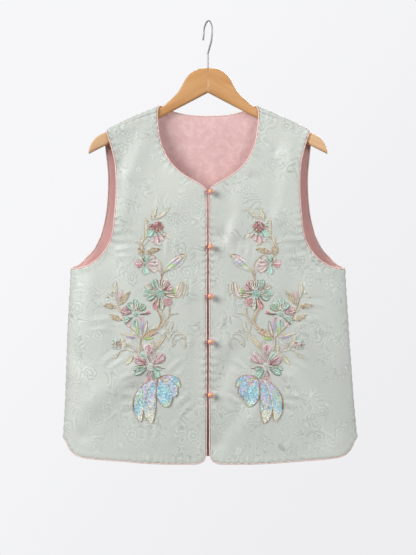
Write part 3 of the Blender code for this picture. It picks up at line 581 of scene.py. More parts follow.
def front_cut(strap_steps=62, neck_steps=66, chest_steps=28, side_steps=42, body_steps=132):
    """The left front as a grid of (girth, level), blank outside the cloth, and its piped edges and seams."""
    strap, side, chest = even(strap_steps), even(side_steps), even(chest_steps)
    shoulder, edge = shoulder_line(-1), front_edge(FRONT_TOP_Z, FRONT_SPLIT_Z)
    neck = smooth_line([shoulder[0], *laid_flat(FRONT_NECKLINE)])
    neck = np.vstack((neck, smooth_line([*laid_flat(NECK_CORNER), edge[0]])[1:]))
    inner = np.vstack((walk(neck, even(neck_steps)), walk(edge, chest)[1:]))
    armhole = smooth_line([shoulder[-1], *laid_flat(FRONT_ARMHOLE)])
    rows = two_part(FRONT_NECK_SHARE, even(neck_steps), chest)
    split = straight(inner[-1], armhole[-1], strap)
    upper = panel(strap, rows, walk(shoulder, strap), split, inner, walk(armhole, rows))
    underarm = smooth_line([*laid_flat(FRONT_UNDERARM), (SIDE_SEAM, UNDERARM_Z)])
    centre = front_edge(FRONT_SPLIT_Z, FRONT_CORNER_Z)
    hem = smooth_line([centre[-1], *laid_flat(FRONT_HEM), *VENT])
    lower = below_armhole(split, centre, underarm, hem, strap, side, even(body_steps))
    grid = np.full((len(upper) + body_steps, strap_steps + side_steps + 1, 2), np.nan)
    grid[: len(upper), : strap_steps + 1] = upper
    grid[len(upper) - 1 :] = lower
    foot, piped_to = len(upper) - 1, np.argmax(grid[-1, :, 0] > VENT[0][0]) - 1
    return grid, {
        "front": np.vstack((grid[:, 0], grid[-1, 1:piped_to])),
        "armhole": np.vstack((grid[: foot + 1, strap_steps], grid[foot, strap_steps + 1 :])),
        "shoulder": grid[0, : strap_steps + 1],
        "side": grid[foot:, -1],
    }


def back_cut(neck_steps=22, strap_steps=30, roll_steps=12, strap_rows=52, side_steps=30, body_steps=74):
    """The left half of the back. Its strap rolls over the shoulder to the seam on rows of its own."""
    strap, side, body = even(strap_steps), even(side_steps), even(body_steps)
    columns, rows = even(neck_steps + strap_steps), even(strap_rows)
    shoulder = shoulder_line(1)
    neck_rise = smooth_line([*laid_flat(BACK_NECK_RISE), shoulder[0]])[::-1]
    arm_rise = smooth_line([shoulder[-1], *laid_flat(BACK_ARMHOLE_RISE)])
    fold = straight(neck_rise[-1], arm_rise[-1], strap)
    roll = even(roll_steps)
    over = panel(strap, roll, walk(shoulder, strap), fold, walk(neck_rise, roll), walk(arm_rise, roll))
    neckline = walk(smooth_line(laid_flat(BACK_NECKLINE)), even(neck_steps))
    armhole = smooth_line(laid_flat(BACK_ARMHOLE))
    middle = np.array(laid_flat((BACK_NECKLINE[0], (0, BACK_SPLIT_Z), BACK_HEM[0])))
    split = straight(middle[1], armhole[-1], columns)
    top, centre = np.vstack((neckline, fold[1:])), straight(middle[0], middle[1], rows)
    upper = panel(columns, rows, top, split, centre, walk(armhole, rows))
    underarm = smooth_line([*laid_flat(BACK_UNDERARM), (SIDE_SEAM, UNDERARM_Z)])
    hem = smooth_line([*laid_flat(BACK_HEM), *VENT])
    lower = below_armhole(split, middle[1:], underarm, hem, columns, side, body)
    last = neck_steps + strap_steps
    grid = np.full((roll_steps + strap_rows + body_steps + 1, last + side_steps + 1, 2), np.nan)
    grid[: roll_steps + 1, neck_steps : last + 1] = over
    grid[roll_steps : roll_steps + strap_rows + 1, : last + 1] = upper
    grid[roll_steps + strap_rows :] = lower
    foot, piped_to = roll_steps + strap_rows, np.argmax(grid[-1, :, 0] > VENT[0][0]) - 1
    return grid, {
        "neck": np.vstack((grid[:roll_steps, neck_steps], grid[roll_steps, neck_steps::-1])),
        "hem": grid[-1, :piped_to],
        "armhole": np.vstack((grid[: foot + 1, last], grid[foot, last + 1 :])),
        "shoulder": grid[0, neck_steps : last + 1],
        "side": grid[foot:, -1],
    }


def mirrored(flat):
    """The same places on the other half."""
    return flat * (-1.0, 1.0)


def beside_line(flat, line):
    """How far places lie from a line on the flat cloth, and how far along it."""
    line = walk(line, even(max(len(line), 160)))
    run = np.concatenate(((0,), np.cumsum(steps_of(line))))
    apart = np.linalg.norm(flat[:, None] - line[None], axis=-1)
    nearest = apart.argmin(axis=1)
    return apart[np.arange(len(flat)), nearest], run[nearest]


# Where the silk draws up: short parallel ripples round the embroidery, on each front in millimetres.
PUCKERS = (
    # out from the middle, down, direction, ripples, apart, length, height
    (155, 424, 4, 6, 8.5, 30, 0.69), (140, 395, -12, 3, 9.0, 22, 0.46), (68, 428, 88, 5, 7.5, 34, 0.92),
    (104, 462, 82, 4, 8.0, 24, 0.72), (92, 338, 80, 3, 9.0, 20, 0.53), (200, 532, 6, 3, 11.0, 34, 0.55),
    (192, 566, -8, 4, 10.0, 42, 0.77), (30, 500, 84, 3, 9.0, 26, 0.59), (112, 575, 70, 3, 7.0, 18, 0.78),
    (176, 632, 34, 4, 9.5, 28, 0.92), (34, 606, 80, 3, 9.0, 30, 0.66), (60, 648, 42, 4, 8.5, 30, 0.99),
    (148, 664, 20, 3, 8.5, 24, 0.78), (150, 708, 8, 5, 9.5, 26, 1.05), (42, 716, 40, 5, 9.0, 28, 1.12),
    (104, 768, 84, 5, 9.0, 22, 0.92), (60, 752, 60, 3, 9.0, 20, 0.78), (178, 560, 4, 4, 8.0, 28, 0.50),
    (152, 612, 36, 4, 8.0, 26, 0.55), (72, 536, 62, 3, 7.5, 22, 0.50), (120, 500, 20, 3, 8.0, 20, 0.45),
)
PUCKER_HALF = 2.3


def uneven(number):
    """A number from -1 to 1 that depends on a whole number alone."""
    return math.sin(number * 12.9898 + 4.1) * math.cos(number * 7.233 + 1.7)


def puckers(x, z):
    """How far the ripples lift a front."""
    out, down = np.abs(x) / MM, -z / MM
    lift = np.zeros(np.shape(x))
    for group, (out0, down0, direction, count, apart, length, height) in enumerate(PUCKERS):
        for half in (-1, 1):
            seed = 40 * group + (half > 0) * 700
            angle = math.radians(direction + 7 * uneven(seed))
            along = np.array((math.cos(angle), math.sin(angle)))
            beside = np.array((-along[1], along[0]))
            for k in range(count):
                shift = (k - (count - 1) / 2) * apart * (1 + 0.16 * uneven(seed + k + 3))
                middle = np.array((out0, down0)) + beside * shift + along * 5 * uneven(seed + k + 11)
                reach = 0.5 * length * (1 + 0.35 * uneven(seed + k + 23))
                a = (out - middle[0]) * along[0] + (down - middle[1]) * along[1]
                b = (out - middle[0]) * beside[0] + (down - middle[1]) * beside[1] - 0.004 * a * a
                mound = np.exp(-((b / PUCKER_HALF) ** 2) - (a / reach) ** 4)
                rise = height * (1 + 0.4 * uneven(seed + k + 31)) * (1 if k % 2 else -0.8)
                lift += np.where(np.sign(x) == half, rise * mound, 0)
    return lift * MM


EDGE_PAD, EDGE_PAD_WIDTH = 0.35 * MM, 7 * MM
EDGE_RIPPLE, EDGE_WAVE, EDGE_FADE = 1.0 * MM, 13.0 * MM, 10 * MM
SEAM_DIP, SEAM_DIP_HALF = 1.15 * MM, 2.0 * MM


def sewn_relief(flat, piped, seams):
    """The pressed edge's extra thickness and small draws beside the piping, and the dip at each seam."""
    lift = np.zeros(len(flat))
    for number, line in enumerate(piped):
        away, run = beside_line(flat, line)
        lift += EDGE_PAD * (1 - ease((away - EDGE_PAD_WIDTH) / (3 * MM)))
        wave = run / EDGE_WAVE + 0.35 * np.sin(run / (4.3 * EDGE_WAVE) + number) + number
        size = 0.55 + 0.45 * np.sin(run / (2.9 * EDGE_WAVE) + 2 * number)
        lift += EDGE_RIPPLE * size * np.sin(2 * math.pi * wave) * np.exp(-((away / EDGE_FADE) ** 2))
    for line in seams:
        away, run = beside_line(flat, line)
        lift -= SEAM_DIP * np.exp(-((away / SEAM_DIP_HALF) ** 2))
        wave = run / EDGE_WAVE * 0.8
        lift += 0.5 * EDGE_RIPPLE * np.sin(2 * math.pi * wave) * np.exp(-((away / EDGE_FADE) ** 2))
    return lift


def cloth_piece(name, side, grid, depth, thickness, material, piped=(), seams=()):
    """A sheet of cloth from a depth inwards, with the sewn relief of the edges and seams given."""
    inside = ~np.isnan(grid[..., 0])
    flat = grid[inside]
    points, normals = cloth_points(side, *flat.T), cloth_normals(side, *flat.T)
    relief = sewn_relief(flat, piped, seams)
    if side < 0 and piped:
        relief = relief + puckers(points[:, 0], points[:, 2])
    index = np.full(inside.shape, -1)
    index[inside] = np.arange(len(flat))
    quads = np.stack((index[:-1, :-1], index[:-1, 1:], index[1:, 1:], index[1:, :-1]), axis=-1).reshape(-1, 4)
    quads = quads[(quads >= 0).all(axis=1)]
    first = points[quads[0]]
    if np.dot(np.cross(first[1] - first[0], first[3] - first[0]), normals[quads[0, 0]]) < 0:
        quads = quads[:, ::-1]
    points = points + normals * (relief - depth)[:, None]
    made = add_piece(name, points, quads, material, flat)
    thick = made.modifiers.new("cloth", "SOLIDIFY")
    thick.thickness, thick.offset = thickness, -1
    made.modifiers.new("flat_to_the_edge", "WEIGHTED_NORMAL")
    return made


# The pale colour gives the grain's flecks and the figure's painted highlight. The deep one gives the ground's
# mottle and the figure's painted shade.
SILK_GROUND, SILK_FLECK_AND_HIGHLIGHT, SILK_MOTTLE_AND_SHADE = (0.61, 0.642, 0.594), (0.84, 0.87, 0.83), (0.38, 0.42, 0.38)
LINE_HIGHLIGHT, LINE_SHADE = 0.5, 0.7  # how strongly the figure's painted highlight and painted shade show
FLOWER_APART, FLOWER_R, LEAF_APART, LEAF_R = 58 * MM, 15 * MM, 14 * MM, 7.5 * MM
CURL_APART, WARP, LINE = 3.2 * MM, 17 * MM, 0.75 * MM


def highlight_and_shade_lines(tree, wave, start, full):
    """A contour of the raised figure: a painted highlight line at a wave's crests and a painted shade line at
    its troughs.
    """
    return maths(tree, "SUBTRACT", spread(tree, wave, start, full), spread(tree, wave, -start, -full))


def scattered(tree, cut, apart, straying):
    """Motifs strewn over the cloth: places round each one's middle, and numbers of its own."""
    feed = {"Vector": cut, "Scale": 1 / apart, "Randomness": straying}
    cells = node(tree, "TexVoronoi", feed, voronoi_dimensions="2D")
    middles = cells.outputs["Position"]
    local = node(tree, "VectorMath", {0: cut, 1: middles}, operation="SUBTRACT").outputs[0]
    return local, node(tree, "SeparateColor", {0: cells.outputs["Color"]}).outputs


def figured_flowers(tree, cut):
    """Open many-petalled flowers strewn over the cloth, as the fine lines that draw their whorls and petals."""
    local, own = scattered(tree, cut, FLOWER_APART, 0.85)
    parts = node(tree, "SeparateXYZ", {0: local}).outputs
    length = node(tree, "VectorMath", {0: local}, operation="LENGTH").outputs["Value"]
    angle = maths(tree, "ARCTAN2", parts[1], parts[0])
    angle = maths(tree, "MULTIPLY_ADD", own[0], 6.0, angle)
    share = maths(tree, "DIVIDE", length, maths(tree, "MULTIPLY_ADD", own[1], 0.4 * FLOWER_R, 0.7 * FLOWER_R))
    petals = maths(tree, "ABSOLUTE", maths(tree, "COSINE", maths(tree, "MULTIPLY", angle, 3.5)))
    share = maths(tree, "DIVIDE", share, maths(tree, "MULTIPLY_ADD", petals, 0.25, 0.75))
    inside = spread(tree, share, 1.04, 0.98)
    whorls = highlight_and_shade_lines(tree, maths(tree, "SINE", maths(tree, "MULTIPLY", share, 4.5 * math.pi)), 0.55, 0.9)
    veins = maths(tree, "MULTIPLY", spread(tree, petals, 0.24, 0.04), spread(tree, share, 0.35, 0.5))
    return maths(tree, "MULTIPLY", maths(tree, "SUBTRACT", whorls, veins), inside), inside


def figured_leaves(tree, cut):
    """Small pointed leaves that lie every way, as their edges and midribs."""
    local, own = scattered(tree, cut, LEAF_APART, 1.0)
    turn = maths(tree, "MULTIPLY", own[0], 6.28)
    turned = node(tree, "VectorRotate", {"Vector": local, "Angle": turn}).outputs[0]
    parts = node(tree, "SeparateXYZ", {0: turned}).outputs
    along = maths(tree, "DIVIDE", parts[0], LEAF_R)
    along = maths(tree, "SUBTRACT", 1.0, maths(tree, "MULTIPLY", along, along))
    across = maths(tree, "ABSOLUTE", parts[1])
    beyond = maths(tree, "SUBTRACT", across, maths(tree, "MULTIPLY", along, 0.38 * LEAF_R))
    outer = spread(tree, maths(tree, "ABSOLUTE", maths(tree, "SUBTRACT", beyond, LINE)), LINE, 0.4 * LINE)
    inner = spread(tree, maths(tree, "ABSOLUTE", maths(tree, "ADD", beyond, LINE)), LINE, 0.4 * LINE)
    rib = spread(tree, across, 0.8 * LINE, 0.2 * LINE)
    midrib = maths(tree, "MULTIPLY", rib, spread(tree, beyond, 0.0, -LINE))
    ends = spread(tree, along, -0.2, 0.0)
    drawn = maths(tree, "SUBTRACT", outer, maths(tree, "MAXIMUM", inner, midrib))
    return maths(tree, "MULTIPLY", drawn, ends)


def figured_curls(tree, cut):
    """Close curling lines, like small waves and tendrils."""
    field = noise(tree, cut, 24.0, 1.0)
    return highlight_and_shade_lines(tree, maths(tree, "SINE", maths(tree, "MULTIPLY", field, 0.24 / CURL_APART)), 0.6, 0.95)


def silk_material():
    """Silk satin figured with flowers, leaves and tendrils woven in the same colour as the ground, their raised
    lines drawn in painted highlight and painted shade.
    """
    gloss = dict(Sheen_Weight=0.1, Sheen_Roughness=0.4, Specular_IOR_Level=0.8)
    made, tree, shader = new_material("figured_silk", SILK_GROUND, 0.5, **gloss)
    cut = node(tree, "UVMap", uv_map="cut").outputs[0]
    strayed = node(tree, "TexNoise", {"Vector": cut, "Scale": 40.0, "Detail": 2.0}).outputs["Color"]
    strayed = node(tree, "VectorMath", {0: strayed, 1: (0.5, 0.5, 0.5)}, operation="SUBTRACT").outputs[0]
    strayed = node(tree, "VectorMath", {0: strayed, "Scale": WARP}, operation="SCALE").outputs[0]
    drawn = node(tree, "VectorMath", {0: cut, 1: strayed}, operation="ADD").outputs[0]
    flower, inside = figured_flowers(tree, drawn)
    sprays = spread(tree, noise(tree, cut, 23.0, 2.0), 0.42, 0.52)
    waves = spread(tree, noise(tree, cut, 31.0, 1.0), 0.50, 0.58)
    leaves = maths(tree, "MULTIPLY", figured_leaves(tree, drawn), sprays)
    curls = maths(tree, "MULTIPLY", figured_curls(tree, cut), waves)
    growth = maths(tree, "MULTIPLY", maths(tree, "ADD", leaves, curls), maths(tree, "SUBTRACT", 1.0, inside))
    lines = maths(tree, "ADD", flower, growth)
    fade = spread(tree, noise(tree, cut, 14.0, 2.0), 0.36, 0.6, 0.25, 1.0)
    lines = maths(tree, "MULTIPLY", lines, fade)
    grain = noise(tree, cut, 420.0, 3.0, 0.7)
    colour = tinted(tree, spread(tree, noise(tree, cut, 8.0, 3.0), 0.3, 0.75, 0, 0.1), SILK_GROUND, SILK_MOTTLE_AND_SHADE)
    colour = tinted(tree, maths(tree, "MULTIPLY", spread(tree, grain, 0.52, 0.72), 0.4), colour, SILK_FLECK_AND_HIGHLIGHT)
    # painted light: where this noise is high the lines show as painted highlight, elsewhere as painted shade
    lit = spread(tree, noise(tree, cut, 17.0, 1.0), 0.40, 0.56, 0.35, 1.0)
    pale = maths(tree, "MULTIPLY", spread(tree, lines, 0.0, 1.0, 0.0, LINE_HIGHLIGHT), lit)
    unlit = maths(tree, "SUBTRACT", 1.35, lit)
    dark = maths(tree, "MULTIPLY", spread(tree, lines, 0.0, -1.0, 0.0, LINE_SHADE), unlit)
    colour = tinted(tree, dark, tinted(tree, pale, colour, SILK_FLECK_AND_HIGHLIGHT), SILK_MOTTLE_AND_SHADE)
    tree.links.new(colour, shader.inputs["Base Color"])
    height = maths(tree, "MULTIPLY_ADD", lines, 1.0, maths(tree, "MULTIPLY", grain, 0.25))
    raise_by(tree, shader, height, 0.16 * MM, 0.8)
    return made


def lining_material():
    """Plain rose silk, softly mottled, with a fine crisp weave, and redder towards the armholes as painted
    shade.
    """
    made, tree, shader = new_material("rose_lining", ROSE_GROUND, 0.55, Sheen_Weight=1.0, Sheen_Roughness=0.6)
    cut = node(tree, "UVMap", uv_map="cut").outputs[0]
    mottle = noise(tree, cut, 70.0, 4.0, 0.62)
    slubs = noise(tree, scaled(tree, cut, (120, 520, 1)), 1.0, 3.0)
    colour = tinted(tree, spread(tree, mottle, 0.4, 0.66), ROSE_GROUND, ROSE_PALE)
    colour = tinted(tree, spread(tree, slubs, 0.48, 0.28, 0, 0.5), colour, ROSE_DEEP)
    girth = maths(tree, "ABSOLUTE", node(tree, "SeparateXYZ", {0: cut}).outputs[0])
    # painted shade: a redder rose towards the armholes, where the lining lies in red bounce-lit shade
    colour = tinted(tree, spread(tree, girth, 0.1, 0.15, 0, 0.9), colour, ROSE_SIDE_SHADE)
    tree.links.new(colour, shader.inputs["Base Color"])
    raise_by(tree, shader, maths(tree, "ADD", mottle, slubs), 0.8 * MM, 0.6)
    return made


SILK_THICK, LINING_THICK = 0.6 * MM, 0.8 * MM
LINING_DEPTH = SHELL + SEAM_GAP
ROSE_GROUND, ROSE_PALE, ROSE_DEEP = (0.76, 0.47, 0.455), (0.83, 0.56, 0.545), (0.68, 0.36, 0.345)
# painted shade for the lining near the armholes
ROSE_SIDE_SHADE = (0.95, 0.56, 0.525)
silk, rose = silk_material(), lining_material()
half_front, front_edges = front_cut()
half_back, back_edges = back_cut()
right_edges = {place: mirrored(line) for place, line in front_edges.items()}
whole_back = np.hstack((mirrored(half_back[:, :0:-1]), half_back))
PANELS = {
    # side, cut, its edges, and which of them are piped
    "front_left": (-1, half_front, front_edges, ("front", "armhole")),
    "front_right": (-1, mirrored(half_front), right_edges, ("front", "armhole")),
    "back": (1, whole_back, back_edges, ("neck", "hem", "armhole")),
}
for name, (side, grid, edges, piped) in PANELS.items():
    piped = [edges[key] for key in piped]
    seams = [edges[key] for key in ("shoulder", "side")]
    if side > 0:
        piped, seams = piped + [mirrored(line) for line in piped], seams + [mirrored(line) for line in seams]
    shell = cloth_piece("silk_" + name, side, grid, 0.0, SILK_THICK, silk, piped, seams)
    inner = cloth_piece("rose_" + name, side, grid[::2, ::2], LINING_DEPTH, LINING_THICK, rose)
    for made, node_name in ((shell, name), (inner, "lining_" + name)):
        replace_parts(made, node_name)

# ---- The piping --------------------------------------------------------------------------------------------
# A cord of salmon satin cut on the bias, sewn between shell and lining round the neck and fronts, the armholes,
# the back of the neck and the hem of the back.
PIPING_SIDES, PIPING_STEP = 12, 1.6 * MM
# the pale colour is painted sheen on the ridges of the piping's drags
PIPING_DEEP, PIPING_SHEEN = (0.85, 0.57, 0.50), (0.94, 0.77, 0.71)


def middle_of(side, grid):
    """The middle of a panel."""
    return cloth_points(side, *grid[~np.isnan(grid[..., 0])].T).mean(axis=0)


def piping_line(side, line):
    """The cord's middle, just outside the cut edge and halfway through the cloth."""
    line = walk(line, even(int(len(line) * 2.5)))
    points, normals = cloth_points(side, *line.T), cloth_normals(side, *line.T)
    path = points - normals * (SHELL + SEAM_GAP + LINING) / 2
    ahead = np.gradient(path, axis=0)
    out = unit(np.cross(unit(ahead), normals))
    inwards = (out * (MIDDLES[side, np.sign(line[len(line) // 2, 0])] - path)).sum()
    return path + out * math.copysign(PIPING_R + SEAM_GAP, -inwards)


def piping_material():
    """Bias satin with fine slanting drags, and a painted sheen that pales their ridges."""
    gloss = dict(Sheen_Weight=0.3, Sheen_Roughness=0.4)
    made, tree, shader = new_material("salmon_piping", PIPING_DEEP, 0.36, **gloss)
    cut = node(tree, "UVMap", uv_map="cut").outputs[0]
    drags = noise(tree, scaled(tree, cut, (330, 190, 1)), 1.0, 2.0)
    # painted sheen: paler where the drags stand up
    colour = tinted(tree, spread(tree, drags, 0.3, 0.7), PIPING_DEEP, PIPING_SHEEN)
    tree.links.new(colour, shader.inputs["Base Color"])
    raise_by(tree, shader, drags, 0.25 * MM, 0.6)
    return made


def lay_piping(name, path, closed=False):
    """One run of piping along a path."""
    length = steps_of(path).sum()
    path = walk(path, even(int(length / PIPING_STEP)))
    path = path[:-1] if closed else path
    points, faces = tube(path[None], PIPING_R, sides=PIPING_SIDES, up=(0.31, 0.3, 0.9), closed=closed)
    along, turn = np.meshgrid(even(len(path) - 1) * length, even(PIPING_SIDES - 1), indexing="ij")
    uv = np.stack((along + 4 * MM * turn, turn * 8 * MM), axis=-1)
    made = add_piece("piped_" + name, points, faces, salmon, uv)
    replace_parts(made, "piping_" + name)


MIDDLES = {(-1, 1.0): middle_of(-1, half_front), (-1, -1.0): middle_of(-1, mirrored(half_front))}
for half in (1.0, -1.0, 0.0):
    MIDDLES[1, half] = middle_of(1, half_back) * (0, 1, 1)
salmon = piping_material()
for name, flip in (("left", np.array), ("right", mirrored)):
    lay_piping("front_" + name, piping_line(-1, flip(front_edges["front"])))
    ahead, behind = (piping_line(s, flip(e["armhole"])) for s, e in ((-1, front_edges), (1, back_edges)))
    lay_piping("armhole_" + name, np.vstack((ahead, behind[::-1], ahead[:1])), closed=True)
neck = np.vstack((back_edges["neck"], mirrored(back_edges["neck"])[-2::-1]))
lay_piping("back_neck", piping_line(1, neck))
lay_piping("back_hem", piping_line(1, np.vstack((mirrored(back_edges["hem"])[:0:-1], back_edges["hem"]))))

# ---- The hand stitching ------------------------------------------------------------------------------------
# A row of small prick stitches in the silk's own colour, sewn by hand a little way in from the piping, holds
# its seam flat along every cut edge.
PRICK_LENGTH, PRICK_APART, PRICK_IN, PRICK_R = 2.3 * MM, 4.4 * MM, 3.2 * MM, 0.2 * MM
PRICK_LIFT = (-0.1, 0.24, -0.1)  # millimetres: the two ends dip into the silk


class Pile:
    """Small parts gathered into one mesh, each with a tint of its own."""

    def __init__(self):
        self.points, self.faces, self.tints, self.count = [], [], [], 0

    def add(self, points, faces, tints):
        """points is (parts, ..., 3), and tints has a row for each part."""
        parts = len(points)
        points = np.asarray(points).reshape(parts, -1, 3)
        tints = np.broadcast_to(np.asarray(tints, float).reshape(-1, 3), (parts, 3))
        self.points.append(points.reshape(-1, 3))
        self.faces.append(faces + self.count)
        self.tints.append(np.repeat(tints, points.shape[1], axis=0))
        self.count += points.shape[0] * points.shape[1]

    def build(self, name, material, slot):
        """The gathered mesh, riding on the object."""
        joined = [np.vstack(part) for part in (self.points, self.faces, self.tints)]
        return add_piece(name, joined[0], joined[1], material, tints=joined[2])


def srgb(*parts):
    """A dyer's colour, as parts of 255, in the linear values that shaders take."""
    return tuple(((p / 255 + 0.055) / 1.055) ** 2.4 for p in parts)


def tint_material(name, roughness, **sockets):
    """A material that takes each small part's own tint."""
    made, tree, shader = new_material(name, (0.8, 0.8, 0.8), roughness, **sockets)
    return made, tree, shader, node(tree, "Attribute", attribute_name="tint").outputs["Color"]


def thread_material():
    """Floss with a soft gloss, and painted shade a little darker between its fibres."""
    made, tree, shader, tint = tint_material("silk_floss", 0.42, Sheen_Weight=0.3, Sheen_Roughness=0.4)
    place = node(tree, "TexCoord").outputs["Object"]
    fibres = noise(tree, place, 900.0, 2.0)
    tree.links.new(spread(tree, fibres, 0.3, 0.7, 0.36, 0.5), shader.inputs["Roughness"])
    # painted shade between the fibres
    shaded = tinted(tree, spread(tree, fibres, 0.35, 0.65, 0.08, 0.0), tint, (0.1, 0.08, 0.07))
    tree.links.new(shaded, shader.inputs["Base Color"])
    return made


def crosswise(ahead):
    """Directions on the flat, a quarter turn from those given."""
    return np.stack((-ahead[:, 1], ahead[:, 0]), axis=1)


def prick_row(pile, side, line, inwards):
    """Prick stitches along a line of the flat cloth, a little way in from it."""
    line = walk(line, even(600))
    line = line + crosswise(unit(np.gradient(line, axis=0))) * inwards
    length = steps_of(line).sum()
    starts = np.arange(PRICK_APART, length - PRICK_APART, PRICK_APART) / length
    shares = (starts[:, None] + np.linspace(0, PRICK_LENGTH, 3) / length).ravel()
    flat = walk(line, shares)
    points, normals = cloth_points(side, *flat.T), cloth_normals(side, *flat.T)
    lift = EDGE_PAD + np.tile(PRICK_LIFT, len(starts)) * MM
    path = (points + normals * lift[:, None]).reshape(-1, 3, 3)
    pile.add(*tube(path, PRICK_R, up=normals.reshape(-1, 3, 3)), PRICK_TINT)


PRICK_TINT = srgb(196, 206, 196)
floss = thread_material()
pricks = Pile()
for flip, turn in ((np.array, 1), (mirrored, -1)):
    prick_row(pricks, -1, flip(front_edges["front"]), PRICK_IN * turn)
    prick_row(pricks, -1, flip(front_edges["armhole"]), -PRICK_IN * turn)
    prick_row(pricks, 1, flip(back_edges["armhole"]), -PRICK_IN * turn)
    prick_row(pricks, 1, flip(back_edges["hem"]), PRICK_IN * turn)
    prick_row(pricks, 1, flip(back_edges["neck"]), PRICK_IN * turn)
pricks.build("prick_stitches", floss, "thread")

# ---- Buttons and loops -------------------------------------------------------------------------------------
# Five pressed glass beads like five-petalled blossoms, rose with an amber middle, sewn on thread shanks to the
# wearer's left front. Each goes through a loop of fine salmon cord sewn into the other front's piping.
BUTTON_HEIGHTS = (-323, -425, -517, -601, -699)
BUTTON_X = 5.4 * MM
BEAD_R, BEAD_STAND, BEAD_RINGS, BEAD_SIDES = 5.7 * MM, 8.1 * MM, 25, 60
SHANK_R, HEART_R, HEART_SQUASH, HEART_RINGS, HEART_SIDES = 1.2 * MM, 2.3 * MM, 0.6, 13, 20
LOOP_R, LOOP_STAND, LOOP_START_X = 0.8 * MM, 1.9 * MM, -6.5 * MM
BEAD_FACING = (-0.28, -0.94, 0.06)  # each blossom looks a little to the side
LOOP_STEPS, LOOP_TWISTS, PLY_OUT, PLY_R = 70, 22, 0.34 * MM, 0.5 * MM
LOOP_TINT, SHANK_TINT = srgb(226, 150, 138), srgb(226, 170, 160)


def facing_front(x, z):
    """The depth of a front there."""
    return cloth_points(-1, np.array([math.copysign(girth_of(x, z), x)]), np.array([z]))[0, 1]


def turned_to(direction):
    """Two directions across a direction, and the direction itself."""
    forward = unit(np.array(direction))
    right = unit(np.cross((0, 0, 1), forward))
    return right, np.cross(forward, right), forward


def blossom_bead(centre):
    """A ball with five round petals pressed into its front half."""
    right, up, forward = turned_to(BEAD_FACING)
    tilts, turns = np.linspace(-90, 90, BEAD_RINGS), np.arange(BEAD_SIDES) * (360 / BEAD_SIDES)
    tilt, turn = np.meshgrid(tilts, turns, indexing="ij")
    tilt, turn = np.radians(tilt), np.radians(turn)
    pressed = ease((np.degrees(tilt) + 50) / 70) * ease((88 - np.degrees(tilt)) / 30)
    lobe = np.abs(np.cos(2.5 * turn)) ** 0.6
    radius = BEAD_R * (1 + pressed * (0.13 * lobe - 0.10))
    cup = BEAD_R * 0.16 * ease((np.degrees(tilt) - 52) / 38)
    ring = np.cos(turn)[..., None] * right + np.sin(turn)[..., None] * up
    points = centre + (radius * np.cos(tilt))[..., None] * ring
    points = points + (radius * np.sin(tilt) - cup)[..., None] * forward
    return points, strip_faces(BEAD_RINGS, BEAD_SIDES, closed=True)


def heart_bead(centre):
    """A small round heart, flattened a little."""
    right, up, forward = turned_to(BEAD_FACING)
    tilts = np.linspace(-math.pi / 2, math.pi / 2, HEART_RINGS)
    turns = np.arange(HEART_SIDES) * 2 * math.pi / HEART_SIDES
    tilt, turn = np.meshgrid(tilts, turns, indexing="ij")
    ring = np.cos(turn)[..., None] * right + np.sin(turn)[..., None] * up
    rise = HEART_SQUASH * np.sin(tilt)[..., None] * forward
    points = centre + HEART_R * (np.cos(tilt)[..., None] * ring + rise)
    return points, strip_faces(HEART_RINGS, HEART_SIDES, closed=True)


def glass_material(name, pale, deep):
    """Milky pressed glass, deeper in the hollows."""
    gloss = dict(Coat_Weight=0.5, Coat_Roughness=0.08, Subsurface_Weight=0.15)
    made, tree, shader = new_material(name, pale, 0.22, **gloss)
    shader.inputs["Subsurface Scale"].default_value = 2 * MM
    place = node(tree, "TexCoord").outputs["Object"]
    cloud = noise(tree, place, 420.0, 2.0)
    hollow = spread(tree, node(tree, "NewGeometry").outputs["Pointiness"], 0.46, 0.53)
    colour = tinted(tree, hollow, deep, tinted(tree, spread(tree, cloud, 0.35, 0.65), pale, deep))
    tree.links.new(colour, shader.inputs["Base Color"])
    return made


rose_glass = glass_material("rose_glass", (0.90, 0.50, 0.47), (0.78, 0.31, 0.29))
amber_glass = glass_material("amber_glass", (0.95, 0.58, 0.08), (0.90, 0.42, 0.04))
for number, height in enumerate(BUTTON_HEIGHTS, 1):
    z = height * MM
    surface = facing_front(BUTTON_X, z)
    centre = np.array((BUTTON_X, surface - BEAD_STAND, z))
    points, faces = blossom_bead(centre)
    bead = add_piece(f"blossom_button_{number}", points, faces, rose_glass)
    forward = turned_to(BEAD_FACING)[2]
    points, faces = heart_bead(centre + forward * BEAD_R * 0.9)
    heart = add_piece(f"blossom_heart_{number}", points, faces, amber_glass)
    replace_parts(bead, f"button_{number}")
    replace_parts(heart, f"button_heart_{number}")
    reach = SHANK_R + SEAM_GAP + LOOP_R
    turns = np.radians(np.linspace(90, -90, 13))
    bend = [(BUTTON_X + reach * math.cos(t), reach * math.sin(t)) for t in turns]
    flat = [(LOOP_START_X, 0.75 * reach), (0.0, reach), *bend, (0.0, -reach), (LOOP_START_X, -0.75 * reach)]
    path = np.array([(x, facing_front(x, z) - LOOP_STAND, z + up) for x, up in flat])
    path[[0, -1], 1] += 0.9 * MM
    path = walk(smooth_line(path, 5), even(LOOP_STEPS))
    twist = np.linspace(0, 2 * LOOP_TWISTS * math.pi, LOOP_STEPS + 1)[:, None]
    ahead = np.gradient(path, axis=0)
    over = np.array((0, -1, 0))
    beside = unit(np.cross(ahead, over))
    loop = Pile()
    for phase in (0, math.pi):
        strand = path + PLY_OUT * (np.cos(twist + phase) * beside + np.sin(twist + phase) * over)
        loop.add(*tube(strand[None], PLY_R, sides=6), LOOP_TINT)
    shank_line = np.array([centre + (0, 0.7 * BEAD_R, 0), (BUTTON_X, surface - 0.6 * MM, z)])
    loop.add(*tube(shank_line[None], SHANK_R * 0.9, sides=8), SHANK_TINT)
    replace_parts(loop.build(f"cord_loop_{number}", floss, "thread"), f"button_loop_{number}")

